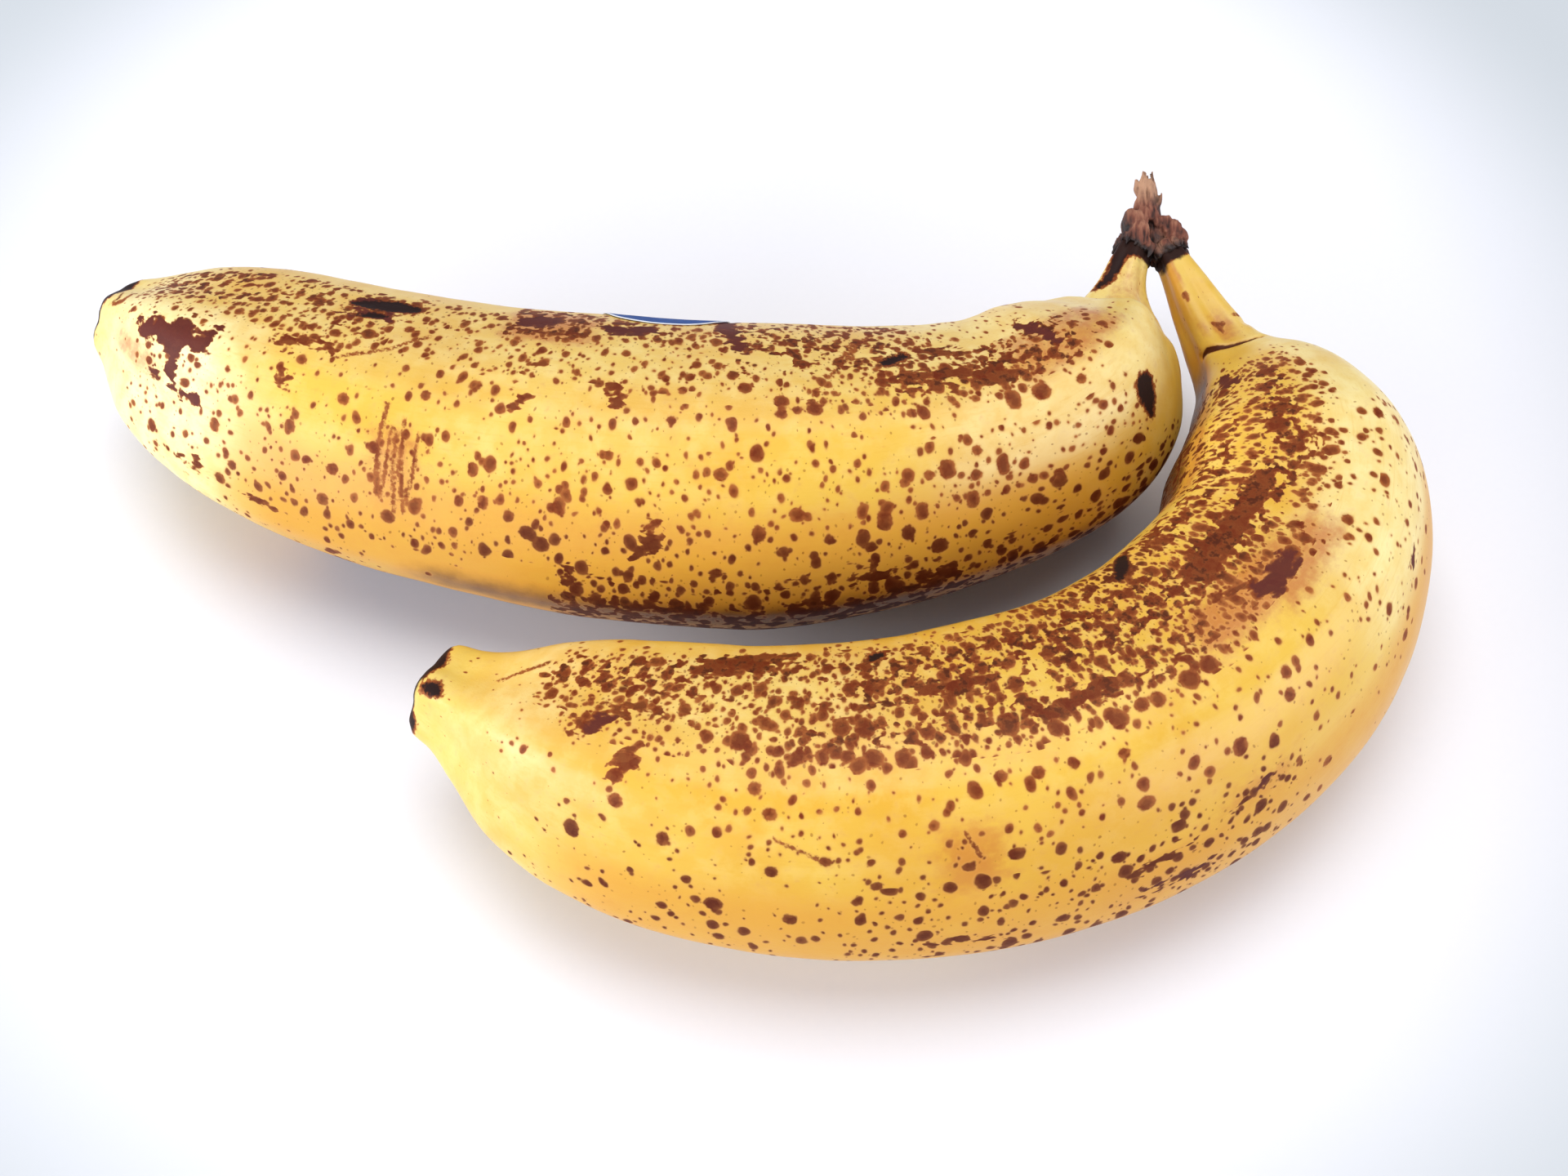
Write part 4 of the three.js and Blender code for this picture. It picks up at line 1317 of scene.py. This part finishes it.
places = [vertex.co / MM for vertex in crown.data.vertices]
down_pedicel = [max((place - top).dot(down) for top, down in pedicel_tops) for place in places]
in_sap = [within_sap(place) for place in places]
clean = np.array([on_clean_lobe(place) for place in places])
keep_values(crown, "near_fruit", np.maximum(down_pedicel, in_sap) - clean)
keep_values(crown, "up_stub", np.array([(place - KNOB_CENTRE).dot(FIBRE_WAY) for place in places]))
print(sum(depth > 0 for depth in in_sap), "of", len(places), "vertices lie in the sap lines")

# %% [markdown]
# ## Dried stalk
#
# Dead stalk is grey brown where it has bleached, red brown where it is torn, and black where the sap
# dried against the fruits. Dirt and shade gather in the splits, so the crests of the relief are painted
# paler than its hollows.

# %% The dried stalk material
DEEP_WOOD = paint("#26110e")
TORN_WOOD = paint("#74402f")
CREST_WOOD = paint("#a8765a")
BLEACHED_WOOD = paint("#c09878")
DRIED_SAP = paint("#150c0d")
dried_stalk, mixer, surface = new_finish("dried_stalk")
in_mm = mixer.scaled(mixer.node("TexCoord").outputs["Object"], 1 / MM)
turned = mixer.node("VectorRotate", rotation_type="EULER_XYZ")
mixer.feed(turned.inputs["Vector"], in_mm)
mixer.feed(turned.inputs["Rotation"], tuple(FIBRE_WAY.to_track_quat("X", "Z").inverted().to_euler()))
strand_value = mixer.group(fibre_group, place=turned.outputs[0], per_mm=2.4, stretch=6.0)["Strand"]
crest = mixer.math("MULTIPLY_ADD", strand_value, 0.8, mixer.math("SUBTRACT", mixer.attribute("crest"), 0.4))
colour = mixer.mix(mixer.step(crest, -0.3, 0.3), DEEP_WOOD, TORN_WOOD)
colour = mixer.mix(mixer.step(crest, 0.15, 0.7, 0.0, 0.7), colour, CREST_WOOD)
up_stub = mixer.step(mixer.attribute("up_stub"), 1.5, 5.5, 0.0, 0.6)
bleached = mixer.math("MULTIPLY", up_stub, mixer.step(crest, -0.2, 0.3, 0.3, 1.0))
colour = mixer.mix(bleached, colour, BLEACHED_WOOD)
near_fruit = mixer.attribute("near_fruit")
sap = mixer.group(ragged_group, place=in_mm, edge=near_fruit, fray=2.4, grain=0.9, softness=0.9)["Mask"]
colour = mixer.mix(mixer.math("MULTIPLY", sap, 0.93), colour, DRIED_SAP)
mixer.feed(surface.inputs["Base Color"], colour)
mixer.feed(surface.inputs["Roughness"], mixer.blend(sap, 0.85, 0.6))
bump = mixer.node("Bump")
mixer.feed(bump.inputs["Height"], strand_value)
mixer.feed(bump.inputs["Distance"], 0.25 * MM)
mixer.feed(bump.inputs["Strength"], 0.9)
mixer.feed(surface.inputs["Normal"], bump.outputs[0])
crown.data.materials.clear()
crown.data.materials.append(dried_stalk)
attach(crown, "root")
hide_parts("crown")
print("dried stalk material has", len(dried_stalk.node_tree.nodes), "nodes")

# %% [markdown]
# ## The sticker
#
# A fruit sticker is a thin paper label with rounded corners, glued to the skin, so it takes the skin's
# shape and shows every dent. It is left blank. The film is built from the same skin formula as the
# fruit, raised by a hair, and its rim stands off a little where the glue has let go.

# %% The sticker film
STICKER = {"along": 89, "around": 158, "half_length": 10.5, "half_width": 9, "corner": 2.3}
LOOSEST = 0.12
FILM_FOOT = 0.06
FILM_THICKNESS = 0.16
FILM_RINGS = 26
FILM_SPOKES = 160


def film_face(lift):
    """One face of the film: rings of a rounded rectangle on the skin, at that height above it."""
    spokes = np.linspace(0, 2 * math.pi, FILM_SPOKES, endpoint=False)
    share, turn = np.meshgrid(np.linspace(0, 1, FILM_RINGS + 1)[1:], spokes, indexing="ij")
    power = STICKER["corner"]
    reach = share / (np.abs(np.cos(turn)) ** power + np.abs(np.sin(turn)) ** power) ** (1 / power)
    radius = float(girth_at(BACK_FRUIT, np.array([STICKER["along"]]))[0])
    degrees_per_mm = 180 / math.pi / radius
    along = STICKER["along"] + reach * np.cos(turn) * STICKER["half_length"]
    around = STICKER["around"] - reach * np.sin(turn) * STICKER["half_width"] * degrees_per_mm
    skin = skin_values(BACK_FRUIT, BACK_MARKS, BACK_OFFSET, along, around, np.ones_like(along))
    rim = smoothstep(share, 0.86, 1.0)
    loose = rim * np.clip(0.03 + swells(straightened(skin), LOOSEST, 6.0), 0, LOOSEST)
    height = relief(skin, BACK_FRUIT, BACK_FOLDS) + lift + loose
    return skin_point(BACK_FRUIT, along, around, height, skin["shrink"], skin["push"]), share


def film_faces():
    """Both faces of the film, a rim between them, and a fan in the middle of each face."""
    count = FILM_RINGS * FILM_SPOKES
    faces = []
    for ring in range(FILM_RINGS - 1):
        for n in range(FILM_SPOKES):
            a, b = ring * FILM_SPOKES + n, ring * FILM_SPOKES + (n + 1) % FILM_SPOKES
            faces.append((a, a + FILM_SPOKES, b + FILM_SPOKES, b))
            faces.append((count + a, count + b, count + b + FILM_SPOKES, count + a + FILM_SPOKES))
    for n in range(FILM_SPOKES):
        a, b = count - FILM_SPOKES + n, count - FILM_SPOKES + (n + 1) % FILM_SPOKES
        faces.append((a, count + a, count + b, b))
    faces.append(tuple(range(FILM_SPOKES)))
    faces.append(tuple(range(count + FILM_SPOKES - 1, count - 1, -1)))
    return faces


top_points, film_share = film_face(FILM_FOOT + FILM_THICKNESS)
foot_points, _ = film_face(FILM_FOOT)
sticker = mesh_object("fruit_sticker", np.concatenate([top_points, foot_points]), film_faces())
keep_values(sticker, "rim", np.concatenate([film_share, film_share]))
outward(sticker)
print("sticker:", len(sticker.data.polygons), "faces")

# %% The sticker material
FILM_BLUE = paint("#1c3f80")
WORN_BLUE = paint("#2b5294")
PAPER_RIM = paint("#dfe4ec")
film, mixer, surface = new_finish("sticker_film")
in_mm = mixer.scaled(mixer.node("TexCoord").outputs["Object"], 1 / MM)
paper = mixer.noise(in_mm, 1.4, 4.0, 0.6).outputs["Fac"]
blue = mixer.mix(mixer.step(paper, 0.35, 0.7), FILM_BLUE, WORN_BLUE)
border = mixer.step(mixer.attribute("rim"), 0.985, 0.992)
mixer.feed(surface.inputs["Base Color"], mixer.mix(border, blue, PAPER_RIM))
mixer.feed(surface.inputs["Roughness"], mixer.math("MULTIPLY_ADD", paper, 0.2, 0.5))
surface.inputs["Specular IOR Level"].default_value = 0.15
bump = mixer.node("Bump")
mixer.feed(bump.inputs["Height"], paper)
mixer.feed(bump.inputs["Distance"], 0.04 * MM)
mixer.feed(surface.inputs["Normal"], bump.outputs[0])
sticker.data.materials.append(film)
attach(sticker, "root")
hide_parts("sticker")
print("sticker film material has", len(film.node_tree.nodes), "nodes")

# %% [markdown]
# ## The floor and the light
#
# The pair lies on a plain pale cloth in soft light. A large warm lamp overhead gives the broad sheen on
# the upper faces. Low, wide and cooler lamps at the left, the right and the front fill the shadows, and
# a pale sky keeps them bluish. The cloth's colour carries painted shade: it is brightest around the
# fruits and darkens toward the corners of the view, as if the light fell off there, so its colour is
# mixed by the distance from a middle point. All of this is staged in metres.

# %% Floor, lamps and sky
FLOOR_SIDE = 3.0
BRIGHT_MIDDLE = (0.0, 0.035, 0.0)
BRIGHT_REACH = 0.108
FALLOFF_REACH = 0.165
WHITE_THREAD = (0.79, 0.79, 0.83, 1)
GREY_THREAD = (0.77, 0.77, 0.81, 1)
# The darker, cooler colour of painted shade toward the corners of the view.
PAINTED_FALLOFF_CLOTH = (0.5, 0.53, 0.555, 1)
bpy.ops.mesh.primitive_plane_add(size=FLOOR_SIDE, location=(0, 0, 0))
floor = bpy.context.object
floor.name = "table_top"
floor_paint = bpy.data.materials.new("pale_table")
floor_paint.use_nodes = True
mixer = Recipe(floor_paint.node_tree)
floor_surface = floor_paint.node_tree.nodes["Principled BSDF"]
spot_on_table = mixer.node("TexCoord").outputs["Object"]
from_middle = mixer.node("VectorMath", operation="LENGTH")
mixer.feed(from_middle.inputs[0], mixer.vector("SUBTRACT", spot_on_table, BRIGHT_MIDDLE))
# Painted shade: the cloth darkens with distance from the middle, standing for light falloff toward the
# corners.
painted_falloff = mixer.step(from_middle.outputs["Value"], BRIGHT_REACH, FALLOFF_REACH)
weave = mixer.noise(spot_on_table, 900.0, 2.0, 0.5).outputs["Fac"]
near_white = mixer.mix(mixer.step(weave, 0.3, 0.7, 0.0, 0.25), WHITE_THREAD, GREY_THREAD)
mixer.feed(floor_surface.inputs["Base Color"], mixer.mix(painted_falloff, near_white, PAINTED_FALLOFF_CLOTH))
floor_surface.inputs["Roughness"].default_value = 0.8
floor_surface.inputs["Specular IOR Level"].default_value = 0.1
floor.data.materials.append(floor_paint)


def soft_lamp(name, place, width, height, power, tint):
    """A square of light in metres and watts that faces the middle of the table."""
    data = bpy.data.lights.new(name, "AREA")
    data.shape = "RECTANGLE"
    data.size = width
    data.size_y = height
    data.energy = power
    data.color = tint
    lamp = bpy.data.objects.new(name, data)
    bpy.context.scene.collection.objects.link(lamp)
    lamp.location = place
    lamp.rotation_euler = Vector(place).to_track_quat("Z", "Y").to_euler()


LAMPS = [
    ("roof_light", (0.0, 0.2, 1.2), 1.0, 0.9, 13.2, (1.0, 0.985, 0.95)),
    ("left_window", (-1.1, -0.4, 0.3), 1.1, 0.55, 17.0, (0.93, 0.96, 1.0)),
    ("right_wall", (1.05, -0.5, 0.3), 1.1, 0.55, 10.0, (0.92, 0.95, 1.0)),
    ("front_fill", (-0.5, -1.1, 0.3), 1.0, 0.5, 2.5, (0.92, 0.94, 1.0)),
]
for lamp_facts in LAMPS:
    soft_lamp(*lamp_facts)
sky = bpy.data.worlds.new("pale_sky")
sky.use_nodes = True
sky_light = sky.node_tree.nodes["Background"]
sky_light.inputs["Color"].default_value = (0.76, 0.82, 1.0, 1)
sky_light.inputs["Strength"].default_value = 0.35
bpy.context.scene.world = sky
bpy.context.scene.view_settings.view_transform = "Standard"
print(len(LAMPS), "lamps over a table", FLOOR_SIDE, "m wide")

# %% [markdown]
